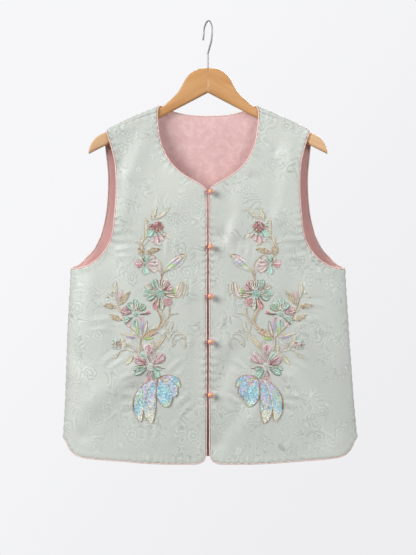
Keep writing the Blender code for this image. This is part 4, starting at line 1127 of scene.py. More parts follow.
# ---- The embroidered sprays --------------------------------------------------------------------------------
# On each front a flowering branch climbs from the hem's sequinned flower to the chest, mirrored on the other.
# It is worked by hand in silk floss, couched gilt cord, glass bugles and seed beads, sewn through the silk.
DYES = {
    "straw": ((216, 209, 190), (232, 227, 212)),
    "gold": ((216, 192, 154), (240, 224, 194)),
    "copper": ((160, 120, 94), (200, 162, 134)),
    "cream": ((234, 222, 204), (246, 240, 228)),
    "rose": ((212, 140, 146), (234, 178, 180)),
    "blush": ((234, 190, 194), (244, 216, 218)),
    "wine": ((150, 86, 88), (190, 120, 122)),
    "teal": ((146, 194, 172), (180, 218, 200)),
    "aqua": ((174, 214, 196), (200, 230, 218)),
    "leaf": ((172, 208, 136), (200, 222, 170)),
    "olive": ((112, 112, 88), (146, 146, 118)),
    # white: also strewn among the beads and sequins as painted glints
    "white": ((250, 250, 246), (255, 255, 252)),
    "pale": ((222, 208, 202), (232, 220, 214)),
    "lilac": ((174, 168, 214), (206, 198, 228)),
}
# the white in a mix is partly painted glint
MIXES = {
    "gold": ("gold", "copper", "cream", "gold", "straw", "gold"),
    "leaf": ("leaf", "blush", "cream", "rose", "straw", "leaf"),
    "rose": ("rose", "rose", "cream", "blush", "blush"),
    "wine": ("wine", "wine", "rose", "cream", "copper"),
    "teal": ("teal", "aqua", "white", "aqua"),
    "aqua": ("aqua", "aqua", "white", "teal"),
    "petal": ("rose", "white", "copper", "aqua", "cream", "blush"),
    "vein": ("white", "aqua", "white", "copper", "aqua", "white"),
    "ruby": ("white", "rose", "wine", "white", "rose", "white"),
    "bud": ("rose", "wine", "rose", "white", "wine", "copper"),
    "edging": ("cream", "straw", "white", "copper", "cream"),
}
DYES = {name: [srgb(*dye) for dye in pair] for name, pair in DYES.items()}
# In millimetres: the floss, the cord's twist, the seed beads and bugles, and how far apart they lie.
FLOSS_APART, FLOSS_R, FLOSS_LIFT, TWIST, TWIST_STEP = 0.8, 0.47, 0.12, 5.0, 1.0
SEED_R, PACKED_APART, HEART_APART, LINE_APART = 0.95, 1.85, 1.75, 2.1
BUGLE_R, BUGLE_LONG, BUGLE_BESIDE = 0.72, 5.0, 1.3


def spray_chart(half):
    """Points and outward directions of a front, at every millimetre out from the middle and down."""
    outs, downs = np.meshgrid(CHART_OUT, CHART_DOWN, indexing="ij")
    x, z = half * outs * MM, -downs * MM
    half_width, swing = body_at(z)[:2]
    across = np.abs(x) / (half_width + half * swing)
    girth = half * PANEL_GIRTH * np.interp(across, SECTION_ACROSS, SECTION_RUN)
    points, normals = cloth_points(-1, girth, z), cloth_normals(-1, girth, z)
    return np.concatenate((points + normals * puckers(x, z)[..., None], normals), axis=-1)


CHART_OUT, CHART_DOWN = np.arange(20.0, 206.0), np.arange(335.0, 765.0)
charts = {half: spray_chart(half) for half in (-1, 1)}


def on_front(half, places, lift=0.0):
    """Points and outward directions over a front, at places (out from the middle, down) in millimetres."""
    places = np.asarray(places, float)
    out, down = places[..., 0] - CHART_OUT[0], places[..., 1] - CHART_DOWN[0]
    i = np.clip(out.astype(int), 0, len(CHART_OUT) - 2)
    j = np.clip(down.astype(int), 0, len(CHART_DOWN) - 2)
    u, v, chart = (out - i)[..., None], (down - j)[..., None], charts[half]
    near = chart[i, j] * (1 - u) + chart[i + 1, j] * u
    far = chart[i, j + 1] * (1 - u) + chart[i + 1, j + 1] * u
    found = near * (1 - v) + far * v
    points, normals = found[..., :3], found[..., 3:]
    return points + normals * (np.asarray(lift) * MM)[..., None], normals


def mottled(rng, tints, amount=0.07):
    """Tints that differ a little from part to part."""
    tints = np.asarray(tints, float)
    return np.clip(1.2 * tints * (1 + amount * rng.standard_normal((len(tints), 1))), 0, 0.95)


def dyed(rng, dye, shares):
    """A dye from its deep to its pale end, by share."""
    deep, pale = np.array(DYES[dye])
    return mottled(rng, deep + (pale - deep) * np.clip(shares, 0, 1)[:, None])


def sprinkled(rng, mix, count):
    """Beads drawn from a mix of dyes."""
    dyes = MIXES.get(mix, (mix,))
    return np.vstack([dyed(rng, dyes[rng.integers(len(dyes))], rng.random(1)) for _ in range(count)])


def between(starts, ends, shares):
    """The places at these shares of the way from each start to its end."""
    return starts[:, None] * (1 - shares)[:, None] + ends[:, None] * shares[:, None]


def lay_floss(half, starts, ends, rise, tints):
    """Straight stitches that stand up a little in their middle."""
    shares = np.array((0.0, 0.5, 1.0))
    lift = FLOSS_LIFT + rise * np.sin(math.pi * shares)
    points, normals = on_front(half, between(starts, ends, shares), lift)
    thin = np.array((0.75, 1.0, 0.75)) * FLOSS_R * MM
    threads.add(*tube(points, thin, up=normals, flat=0.8), tints)


def lay_cord(half, line, tint, radius, lift=0.45):
    """Two twisted plies couched along a line, one painted lighter as lit and the other darker as in shade."""
    line = np.asarray(line, float)
    length = steps_of(line).sum()
    line = walk(line, even(max(int(length / TWIST_STEP), 4)))
    points, normals = on_front(half, line, lift)
    beside = unit(np.cross(np.gradient(points, axis=0), normals))
    turn = (np.arange(len(line)) * TWIST_STEP / TWIST * 2 * math.pi)[:, None]
    # painted light: the same tint, lit on one ply and shaded on the other
    for phase, shade in ((0, 1.45), (math.pi, 0.72)):
        ply = points + 0.55 * radius * MM * (np.cos(turn + phase) * beside + np.sin(turn + phase) * normals)
        lit = np.minimum(np.array(tint) * shade, 0.9)
        cords.add(*tube(ply[None], 0.68 * radius * MM, up=normals[None]), lit)


def sew_seeds(half, places, tints, radius=SEED_R, lift=0.75):
    """Round seed beads."""
    points, normals = on_front(half, places, lift)
    along = np.array((-0.8, -0.36, 0.36, 0.82)) * radius * MM
    line = points[:, None] + normals[:, None] * along[:, None]
    radii = np.array((0.3, 0.93, 0.93, 0.3)) * radius * MM
    beads.add(*tube(line, radii, sides=6, up=(0.1, 0.0, 1.0)), tints)


def sew_bugles(half, starts, ends, tints):
    """Short glass tubes laid flat."""
    shares = np.array((0.0, 0.08, 0.92, 1.0))
    points, normals = on_front(half, between(starts, ends, shares), BUGLE_R + 0.1)
    beads.add(*tube(points, np.array((0.7, 1, 1, 0.7)) * BUGLE_R * MM, sides=6, up=normals), tints)


def spine(base, tip, bend, shares):
    """Points along a shape's bowed middle line, and the direction across it."""
    base, run = np.array(base, float), np.array(tip, float) - base
    across = np.array((-run[1], run[0])) / np.hypot(*run)
    line = base + run * shares[:, None] + across * (4 * bend * shares * (1 - shares))[:, None]
    return line, crosswise(unit(run + across * (4 * bend * (1 - 2 * shares))[:, None]))


def half_width_at(shares, form):
    """Half the width of a leaf or a petal along its length, as a share of its widest."""
    peak, fullness = {"leaf": (0.85, 0.95), "petal": (1.5, 0.6), "bell": (1.3, 0.62)}[form]
    return np.sin(math.pi * np.clip(shares, 0, 1) ** peak) ** fullness


def outline_of(base, tip, width, bend, form):
    """The shape's two edges, from its base to its tip, as lines."""
    shares = np.linspace(0.0, 1.0, 22)
    line, across = spine(base, tip, bend, shares)
    wide = (0.5 * width * half_width_at(shares, form))[:, None]
    return line + across * wide, line - across * wide


def work_satin(rng, half, base, tip, width, bend, form, dye, patches=None, lean=0.0):
    """Slanting satin stitches from the middle line out to both edges, in one dye or in patches of several."""
    length = math.dist(base, tip)
    count = max(int(length / FLOSS_APART), 4)
    shares = (np.arange(count) + 0.5) / count
    middle, _ = spine(base, tip, bend, shares * 0.96)
    wide = 0.5 * width * half_width_at(shares, form)
    ahead = np.clip(shares + 0.5 * wide / length, 0, 1)
    line, across = spine(base, tip, bend, ahead)
    for number, sign in enumerate((-1, 1)):
        uneven_wide = wide * (1 - sign * lean) * (1 + 0.05 * rng.standard_normal(len(shares)))
        edge = line + across * (sign * uneven_wide)[:, None]
        if patches:
            dyes = patches[number]
            strayed = shares + 0.05 * rng.standard_normal(len(shares))
            which = np.minimum(strayed * len(dyes), len(dyes) - 0.01)
            tints = np.vstack([dyed(rng, dyes[int(max(w, 0))], np.array([rng.random()])) for w in which])
        else:
            tints = dyed(rng, dye, 0.25 + 0.75 * shares + 0.12 * sign)
        lay_floss(half, middle, edge, 0.32 + 0.02 * width, tints)


def work_beads(rng, half, base, tip, width, bend, form, dye):
    """Seed beads packed inside the shape."""
    length, apart = math.dist(base, tip), PACKED_APART
    for row, share in enumerate(np.arange(0.5 * apart, length, apart * 0.9) / length):
        line, across = spine(base, tip, bend, np.array([share]))
        room = 0.5 * width * half_width_at(np.array([share]), form)[0] - 0.5
        offsets = np.arange(-room + (row % 2) * 0.5 * apart, room + 0.1, apart)
        if not len(offsets):
            continue
        places = line + across * offsets[:, None] + 0.16 * rng.standard_normal((len(offsets), 2))
        sew_seeds(half, places, sprinkled(rng, dye, len(offsets)))


def work_rows(rng, half, base, tip, width, bend, form, dye):
    """Rows of small beads that run out along the shape from its base, with the floss showing between them."""
    length, rows = math.dist(base, tip), max(int(width / 3.6), 2)
    for offset in (np.arange(rows) + 0.5) / rows - 0.5:
        shares = np.arange(0.08 + 0.06 * rng.random(), 0.96, 1.6 / length)
        line, across = spine(base, tip, bend, shares)
        room = width * half_width_at(shares, form)
        places = line + across * (offset * room)[:, None] + 0.12 * rng.standard_normal((len(shares), 2))
        sew_seeds(half, places, sprinkled(rng, dye, len(places)), radius=0.74, lift=1.15)


WORKED = {"satin": work_satin, "beaded": work_beads, "rowed": work_rows}
ROWED = {"aqua": "vein", "straw": "vein", "rose": "ruby", "blush": "ruby"}


def work_shape(rng, half, kind, base, tip, width, bend, form, dye, edge=None):
    """One leaf or petal, left open or filled in, with a cord round it where it has an edge."""
    if kind != "open":
        WORKED[kind](rng, half, base, tip, width, bend, form, dye)
    if edge:
        for line in outline_of(base, tip, width + 1.0, bend, form):
            lay_cord(half, line, DYES[edge][0], radius=0.42, lift=0.55)


LEAVES = (
    # kind, base (out, down), tip (out, down), width, bow, dye, edge
    ("satin", (104, 377), (94, 351), 6.6, 1.5, "straw", "straw"),
    ("satin", (101, 374), (72, 353), 7.0, -2.0, "straw", "straw"),
    ("satin", (116, 411), (116, 371), 4.8, -1.4, "straw", "gold"),
    ("satin", (123, 419), (118, 402), 5.4, 1.0, "straw", "straw"),
    ("satin", (126, 418), (137, 413), 3.4, 0.6, "straw", None),
    ("satin", (85, 402), (68, 411), 5.2, 1.0, "straw", None),
    ("satin", (100, 419), (86, 421), 4.4, 0.6, "cream", "straw"),
    ("satin", (112, 417), (106, 409), 2.6, 0.4, "cream", None),
    ("beaded", (123, 444), (124, 415), 12.5, 0.4, "gold", None),
    ("beaded", (117, 438), (86, 428), 12.0, 1.6, "gold", None),
    ("open", (88, 474), (99, 442), 9.6, -2.0, "straw", "gold"),
    ("satin", (87, 472), (94, 450), 4.0, -0.8, "blush", None),
    ("satin", (171, 519), (172, 487), 7.6, 0.8, "straw", "straw"),
    ("satin", (166, 523), (158, 504), 5.0, 0.5, "blush", "straw"),
    ("satin", (165, 522), (161, 511), 2.6, 0.3, "rose", None),
    ("beaded", (164, 534), (144, 508), 11.0, 1.6, "gold", "straw"),
    ("beaded", (169, 538), (196, 534), 11.4, -1.0, "gold", None),
    ("beaded", (157, 561), (185, 549), 11.0, 1.6, "gold", None),
    ("satin", (158, 546), (170, 541), 2.6, 0.8, "straw", "gold"),
    ("satin", (123, 584), (120, 552), 4.6, 1.2, "lilac", "straw"),
    ("satin", (121, 574), (119, 556), 2.4, 0.4, "blush", None),
    ("satin", (121, 592), (113, 562), 4.6, -1.4, "cream", "copper"),
    ("satin", (130, 590), (131, 568), 5.0, 0.8, "leaf", "straw"),
    ("beaded", (119, 589), (92, 572), 11.4, -3.0, "gold", None),
    ("satin", (120, 593), (92, 584), 5.4, 1.2, "rose", "copper"),
    ("satin", (120, 597), (101, 594), 7.0, 1.6, "leaf", "gold"),
    ("satin", (129, 592), (163, 586), 5.4, -1.0, "straw", "straw"),
    ("satin", (134, 594), (153, 590), 3.6, 0.6, "lilac", "blush"),
    ("satin", (72, 582), (66, 563), 5.0, -0.8, "straw", "straw"),
    ("satin", (73, 588), (68, 573), 3.0, 0.6, "straw", None),
    ("satin", (99, 618), (77, 589), 7.0, 1.6, "straw", "gold"),
    ("satin", (89, 604), (80, 592), 3.4, 0.4, "leaf", None),
    ("satin", (94, 612), (87, 602), 3.0, 0.8, "blush", None),
    ("satin", (100, 609), (104, 595), 4.6, 0.8, "straw", "straw"),
    ("satin", (152, 613), (163, 592), 6.4, -1.4, "straw", "straw"),
    ("satin", (142, 614), (147, 603), 3.6, 0.5, "straw", "straw"),
    ("satin", (137, 617), (141, 607), 3.2, 0.5, "blush", None),
    ("satin", (139, 626), (153, 644), 7.2, 1.2, "straw", "gold"),
    ("satin", (142, 630), (149, 639), 3.4, 0.5, "leaf", None),
    ("satin", (128, 624), (128, 602), 5.4, 0.8, "straw", "straw"),
    ("satin", (164, 621), (177, 632), 3.6, 0.6, "straw", "straw"),
)
PATCHED = (
    # base, tip, width, bow, how far it leans, the dyes on its two sides from base to tip
    (
        *((82, 472), (41, 439), 14.0, 4.0, 0.36),
        (
            ("leaf", "white", "leaf", "lilac", "white", "blush", "leaf"),
            ("straw", "aqua", "white", "blush", "straw"),
        ),
    ),
    ((63, 520), (51, 490), 9.0, -1.6, 0.0, (("blush", "blush", "straw"), ("leaf", "straw", "blush"))),
)
BEAD_LINES = (
    # mix, places (out, down)
    ("ruby", (66, 446), (55, 440), (41, 438)),
    ("edging", (82, 472), (76, 470), (65, 466), (52, 460), (44, 449), (41, 439)),
    ("edging", (48, 520), (44, 508), (42, 494)),
    ("leaf", (40, 515), (37, 503), (37, 494)),
    ("edging", (86, 543), (80, 556), (82, 568), (91, 578)),
    ("teal", (96, 670), (88, 664), (80, 662)),
    ("edging", (115, 378), (113, 384), (111, 391)),
    ("edging", (112, 376), (109, 382), (107, 388)),
)
STEMS = (
    # dye, half width, places (out, down)
    ("straw", 0.8, (108, 409), (112, 414), (116, 420), (121, 424)),
    ("gold", 0.9, (122, 440), (121, 449), (118, 460)),
    ("gold", 1.2, (82, 472), (86, 480), (88, 494)),
    ("gold", 1.2, (87, 474), (87, 482), (88, 494)),
    ("copper", 1.0, (171, 516), (166, 534), (161, 545), (155, 558), (144, 574), (133, 584), (124, 593)),
    ("gold", 2.6, (94, 541), (88, 553), (87, 566), (94, 578)),
    ("straw", 1.2, (91, 543), (85, 555), (84, 567), (91, 579)),
    ("gold", 1.3, (71, 537), (72, 551), (78, 562), (88, 572), (97, 580), (108, 588), (122, 594)),
    ("straw", 1.2, (78, 561), (69, 551), (55, 548)),
    ("gold", 1.5, (124, 593), (125, 604), (121, 618)),
    ("straw", 0.9, (122, 630), (133, 621), (148, 616), (159, 605), (163, 594)),
    ("straw", 0.8, (148, 616), (159, 617), (169, 625)),
    ("cream", 1.6, (57, 580), (47, 587), (42, 597), (42, 611)),
    ("cream", 1.4, (50, 586), (60, 588), (66, 598), (66, 610)),
    ("cream", 1.3, (43, 592), (53, 595), (60, 600), (62, 607)),
    ("cream", 0.9, (41, 599), (40, 607), (45, 614)),
    ("cream", 0.9, (62, 583), (70, 589), (72, 598)),
    ("cream", 1.0, (76, 582), (70, 574), (68, 564)),
    ("cream", 1.0, (76, 582), (79, 572), (73, 562)),
    ("straw", 1.0, (58, 580), (68, 582), (78, 584), (88, 590)),
    ("gold", 0.8, (99, 619), (89, 603), (78, 588)),
    ("gold", 0.8, (59, 520), (51, 516), (47, 505), (46, 490)),
    ("straw", 0.7, (47, 520), (43, 508), (41, 494)),
    ("copper", 0.7, (62, 520), (56, 503), (51, 490)),
    ("gold", 1.2, (84, 473), (71, 457), (61, 450), (52, 443), (41, 439)),
    ("copper", 0.6, (119, 594), (107, 589), (95, 585)),
)
# each stem dye's companion, laid in every other row as painted highlight and painted shadow
HIGHLIGHT_SHADOW_DYES = {"straw": "gold", "cream": "gold", "gold": "copper", "copper": "gold"}


def work_stem(rng, half, dye, half_width, places):
    """Couched cords side by side along a smooth line, the dye by turns with a companion dye painted in as its
    highlight and shadow.
    """
    line = smooth_line(places, 10)
    across = crosswise(unit(np.gradient(line, axis=0)))
    rows = max(int(round(half_width / 0.5)), 2)
    for row, offset in enumerate(np.linspace(-half_width + 0.4, half_width - 0.4, rows)):
        chosen = HIGHLIGHT_SHADOW_DYES[dye] if row % 2 else dye
        lay_cord(half, line + across * offset, dyed(rng, chosen, rng.random(1))[0], radius=0.56)


# Each blossom: its middle, its petals (kind, angle, start, end, width, dye, edge), its rays (angle, start, end,
# dye), which are bugles where cream, with a copper cord beside them that is partly painted shadow, and cord
# elsewhere, and the radius and dye of its beaded heart.
BLOSSOMS = (
    (
        (89, 512),
        (
            ("satin", 64, 8, 29, 14, "aqua", "copper"),
            ("satin", 122, 8, 28, 13, "blush", "wine"),
            ("satin", 94, 10, 24, 9, "aqua", None),
            ("satin", 4, 9, 31, 15, "aqua", "straw"),
            ("satin", 30, 16, 32, 12, "straw", "blush"),
            ("satin", -22, 8, 26, 12, "aqua", "copper"),
            ("satin", 152, 12, 27, 11, "blush", "copper"),
            ("satin", 168, 20, 33, 8, "leaf", "straw"),
            ("satin", 190, 8, 27, 8, "straw", "olive"),
            ("beaded", 226, 10, 29, 18, "rose", None),
            ("satin", 262, 9, 31, 9, "straw", "olive"),
            ("satin", 290, 8, 31, 10, "rose", "gold"),
        ),
        (
            (74, 7, 24, "cream"), (87, 6, 27, "cream"), (100, 7, 26, "cream"), (113, 7, 25, "cream"),
            (56, 8, 26, "olive"), (132, 8, 26, "olive"), (122, 10, 27, "cream"), (144, 7, 18, "copper"),
            (14, 7, 26, "copper"), (-2, 7, 27, "gold"), (-14, 7, 26, "copper"), (178, 7, 27, "copper"),
            (186, 7, 29, "copper"), (252, 7, 24, "cream"), (272, 7, 28, "olive"), (280, 7, 22, "cream"),
            (300, 7, 24, "olive"), (36, 8, 18, "copper"), (-34, 7, 20, "olive"),
        ),
        (8.5, "aqua"),
    ),
    (
        (134, 550),
        (
            ("satin", 16, 8, 28, 15, "blush", "wine"),
            ("satin", 54, 7, 25, 12, "aqua", "olive"),
            ("satin", 84, 7, 28, 13, "aqua", "teal"),
            ("satin", 110, 8, 25, 8, "aqua", None),
            ("satin", 136, 8, 24, 10, "teal", "copper"),
            ("satin", 172, 18, 27, 6, "rose", None),
            ("satin", -34, 10, 27, 10, "aqua", "teal"),
            ("satin", -58, 14, 28, 8, "blush", None),
            ("satin", -88, 8, 23, 12, "aqua", None),
            ("satin", 222, 8, 20, 6, "rose", None),
        ),
        (
            (62, 7, 22, "cream"), (74, 6, 25, "cream"), (88, 7, 24, "cream"), (102, 7, 21, "cream"),
            (26, 16, 26, "wine"), (6, 12, 28, "wine"), (14, 9, 24, "wine"), (176, 7, 27, "olive"),
            (182, 8, 24, "wine"), (128, 8, 24, "gold"), (144, 8, 22, "gold"), (-46, 7, 28, "copper"),
        ),
        (5.2, "aqua"),
    ),
    (
        (106, 646),
        (
            ("satin", 84, 20, 40, 19, "blush", None),
            ("rowed", 92, 6, 36, 15, "ruby", None),
            ("satin", 139, 6, 33, 18, "blush", "copper"),
            ("satin", 26, 7, 33, 15, "blush", "wine"),
            ("satin", 52, 14, 29, 10, "aqua", None),
            ("satin", -10, 8, 33, 9, "aqua", "olive"),
            ("satin", -27, 8, 33, 11, "aqua", "olive"),
            ("satin", -84, 14, 36, 17, "blush", None),
            ("rowed", -86, 5, 26, 12, "ruby", None),
            ("satin", 234, 6, 26, 11, "aqua", "teal"),
            ("satin", 198, 7, 20, 7, "aqua", "copper"),
        ),
        (
            (20, 9, 31, "wine"), (32, 12, 28, "wine"), (-14, 9, 31, "olive"), (-22, 9, 31, "copper"),
            (-32, 10, 32, "olive"), (66, 7, 22, "cream"), (118, 7, 24, "cream"), (190, 7, 27, "wine"),
            (-66, 7, 20, "wine"), (-2, 10, 26, "gold"),
        ),
        (4.0, "cream"),
    ),
    (
        (118, 456),
        (
            ("satin", 70, 3, 14, 11, "aqua", None),
            ("satin", 128, 2, 14, 9, "teal", None),
            ("satin", 258, 4, 20, 14, "aqua", "straw"),
            ("satin", 176, 5, 25, 15, "pale", "blush"),
            ("satin", 212, 6, 27, 12, "pale", "blush"),
            ("open", 146, 7, 24, 10, "blush", "rose"),
            ("open", 176, 8, 19, 9, "blush", "rose"),
            ("open", 212, 10, 21, 7, "blush", "rose"),
            ("satin", 8, 3, 17, 10, "blush", "rose"),
            ("satin", -20, 4, 15, 8, "rose", "blush"),
        ),
        ((194, 8, 18, "aqua"), (88, -6, 14, "copper"), (80, -4, 10, "olive")),
        (2.2, "teal"),
    ),
    (
        (96, 388),
        (
            ("satin", 236, 2, 17, 12, "aqua", "teal"),
            ("satin", 312, 5, 24, 12, "aqua", "teal"),
            ("satin", 20, 6, 18, 8, "aqua", None),
            ("satin", 246, 15, 28, 10, "pale", "rose"),
            ("satin", 268, 15, 32, 9, "blush", "rose"),
            ("open", 290, 17, 30, 9, "blush", "blush"),
            ("open", 225, 14, 25, 8, "rose", "rose"),
            ("beaded", 184, -13, 13, 23, "bud", None),
        ),
        ((350, 12, 18, "cream"), (14, 13, 20, "cream"), (334, 13, 20, "cream")),
        (0.0, "wine"),
    ),
    (
        (169, 606),
        (
            ("satin", 96, 1, 9, 15, "aqua", "teal"),
            ("satin", 268, 1, 9, 15, "aqua", "teal"),
            ("beaded", 184, -10, 10, 17, "petal", None),
        ),
        (),
        (0.0, "rose"),
    ),
)
SEED_SPOTS = (
    # out, down, dye, radius
    (126, 419, "rose", 1.5), (180, 510, "cream", 1.9), (187, 518, "straw", 2.1), (174, 511, "rose", 1.1),
    (184, 513, "copper", 0.7), (178, 516, "copper", 0.7), (188, 511, "straw", 0.9), (101, 416, "rose", 1.4),
    (108, 411, "blush", 1.5), (38, 497, "straw", 1.0), (40, 503, "straw", 0.9), (41, 512, "straw", 0.9),
    (64, 578, "cream", 1.1), (58, 583, "cream", 1.0), (113, 622, "rose", 1.2), (135, 618, "blush", 1.3),
)


def ray(middle, angle, start, end):
    """The two ends of a line that leaves a middle at an angle."""
    way = np.array((math.cos(math.radians(angle)), -math.sin(math.radians(angle))))
    return np.array(middle) + way * start, np.array(middle) + way * end


def bead_material():
    """Lustred glass in each bead's own colour."""
    made, tree, shader, tint = tint_material("glass_beads", 0.3, Coat_Weight=0.3, Coat_Roughness=0.15)
    tree.links.new(tint, shader.inputs["Base Color"])
    return made


bead_glass = bead_material()
for half, hand in ((-1, "right"), (1, "left")):
    threads, cords, beads = Pile(), Pile(), Pile()
    rng = np.random.default_rng(12 + half)
    for dye, half_width, *places in STEMS:
        work_stem(rng, half, dye, half_width, places)
    for kind, base, tip, width, bow, dye, edge in LEAVES:
        work_shape(rng, half, kind, base, tip, width, bow, "leaf", dye, edge)
    for base, tip, width, bow, lean, patches in PATCHED:
        work_satin(rng, half, base, tip, width, bow, "leaf", None, patches, lean)
    for mix, *places in BEAD_LINES:
        line = smooth_line(places, 8)
        length = steps_of(line).sum()
        spots = walk(line, even(int(length / LINE_APART)))
        sew_seeds(half, spots, sprinkled(rng, mix, len(spots)), radius=0.85)
    for middle, petals, rays, (heart, heart_dye) in BLOSSOMS:
        for kind, angle, start, end, width, dye, edge in petals:
            base, tip = ray(middle, angle, start, end)
            work_shape(rng, half, kind, base, tip, width, 0.0, "petal", dye, edge)
            if heart > 3 and kind == "satin" and width > 8.5 and dye in ROWED:
                work_rows(rng, half, base, tip, width * 0.9, 0.0, "petal", ROWED[dye])
        for angle, start, end, dye in rays:
            base, tip = ray(middle, angle, start, end)
            if dye != "cream":
                lay_cord(half, (base, tip), DYES[dye][0], radius=0.5, lift=0.9)
                continue
            steps = max(int(round((end - start) / BUGLE_LONG)), 1)
            line = straight(base, tip, np.arange(steps + 1) / steps)
            sew_bugles(half, line[:-1] * 0.94 + line[1:] * 0.06, line[1:], dyed(rng, dye, rng.random(steps)))
            # a copper cord beside the bugles: a dark cord that is also painted shadow of the bugles
            beside = BUGLE_BESIDE * np.array((tip[1] - base[1], base[0] - tip[0])) / (end - start)
            lay_cord(half, (base + beside, tip + beside), DYES["copper"][0], radius=0.42, lift=0.8)
        for ring in range(int(heart / HEART_APART) + 1):
            reach, count = ring * HEART_APART, max(6 * ring, 1)
            turn = 2 * math.pi * np.arange(count) / count + reach
            spots = np.array(middle) + reach * np.stack((np.cos(turn), np.sin(turn)), axis=1)
            sew_seeds(half, spots, sprinkled(rng, heart_dye, count), lift=1.1)
    for out, down, dye, radius in SEED_SPOTS:
        sew_seeds(half, np.array([(out, down)]), dyed(rng, dye, rng.random(1)), radius)
    threads.build(f"spray_floss_{hand}", floss, "thread")
    cords.build(f"spray_cords_{hand}", floss, "thread")
    beads.build(f"spray_beads_{hand}", bead_glass, "bead")

# ---- The sequinned flowers ---------------------------------------------------------------------------------
# Near the hem each spray ends in a hanging bell of long petals. Cupped sequins in pearly blues are sewn row
# over row inside a twisted copper cord, with a few parts left to satin stitch.
# the last is the share of sequins made pure white as painted glints
SEQUIN_R, SEQUIN_APART, SEQUIN_GLINT_SHARE = 1.5, 2.05, 0.24
SEQUIN_CUP, SEQUIN_HOLE = 0.28, 0.28  # millimetres deep, and a share of the radius
BELL_ACROSS, BELL_DOWN, BELL_EDGE_STEPS = (48, 136), (664, 756), 120
BELL_PETALS = (
    # base (out, down), tip (out, down), width, bow, its dyes from base to tip
    ((98, 670), (106, 726), 15.0, -3.0, ("lilac", "azure", "lilac", "cream")),
    ((99, 669), (124, 749), 20.0, -15.0, ("pearl", "lilac", "leaf", "azure", "cream")),
    ((95, 670), (104, 752), 22.0, -8.0, ("azure", "aqua", "azure", "azure", "cream", "cream")),
    ((91, 669), (76, 722), 27.0, 2.0, ("blush", "azure", "aqua", "azure", "azure", "leaf")),
    ((88, 668), (60, 702), 22.0, 3.0, ("leaf", "blush", "azure", "lilac", "azure")),
    ((88, 667), (52, 684), 15.0, 5.0, ("rose", "lilac", "azure", "leaf")),
)
SHIMMERS = {
    "azure": ((136, 194, 255), (188, 222, 255)),
    "pearl": ((198, 206, 240), (236, 234, 246)),
    "cream": ((252, 242, 198), (255, 250, 228)),
    "aqua": ((146, 218, 228), (192, 236, 236)),
    "lilac": ((194, 190, 238), (216, 212, 246)),
    "blush": ((228, 186, 204), (242, 212, 220)),
    "rose": ((210, 160, 174), (230, 188, 198)),
    "leaf": ((172, 206, 178), (204, 224, 200)),
}
SHIMMERS = {name: [srgb(*dye) for dye in pair] for name, pair in SHIMMERS.items()}


def sew_sequins(rng, half, places, tints):
    """Small cupped discs, each lying a little its own way."""
    points, normals = on_front(half, places, 1.0 + 0.25 * rng.random(len(places)))
    tilted = unit(normals + 0.2 * rng.standard_normal(normals.shape))
    along = np.array((0.0, SEQUIN_CUP)) * MM
    line = points[:, None] + tilted[:, None] * along[:, None]
    rings, faces = tube(line, np.array((SEQUIN_HOLE, 1.0)) * SEQUIN_R * MM, sides=8, up=(0.1, 0.0, 1.0))
    sequins.add(rings, faces, tints)


def inside_petal(base, tip, width, bow, places):
    """How far along a petal each place lies, or -1 outside it."""
    shares = np.linspace(0, 1, 60)
    line, across = spine(base, tip, bow, shares)
    apart = places[:, None] - line[None]
    nearest = np.linalg.norm(apart, axis=-1).argmin(axis=1)
    away = np.abs((apart[np.arange(len(places)), nearest] * across[nearest]).sum(axis=1))
    room = 0.5 * width * half_width_at(shares[nearest], "bell")
    ends = (nearest > 0) & (nearest < len(shares) - 1)
    return np.where(ends & (away < room), shares[nearest], -1.0)


def sequin_material():
    """Pearly film over each disc's own colour."""
    made, tree, shader, tint = tint_material("pearly_sequins", 0.24, Coat_Weight=0.3)
    shader.inputs["Thin Film Thickness"].default_value = 420.0
    shader.inputs["Thin Film IOR"].default_value = 1.6
    tree.links.new(tint, shader.inputs["Base Color"])
    return made


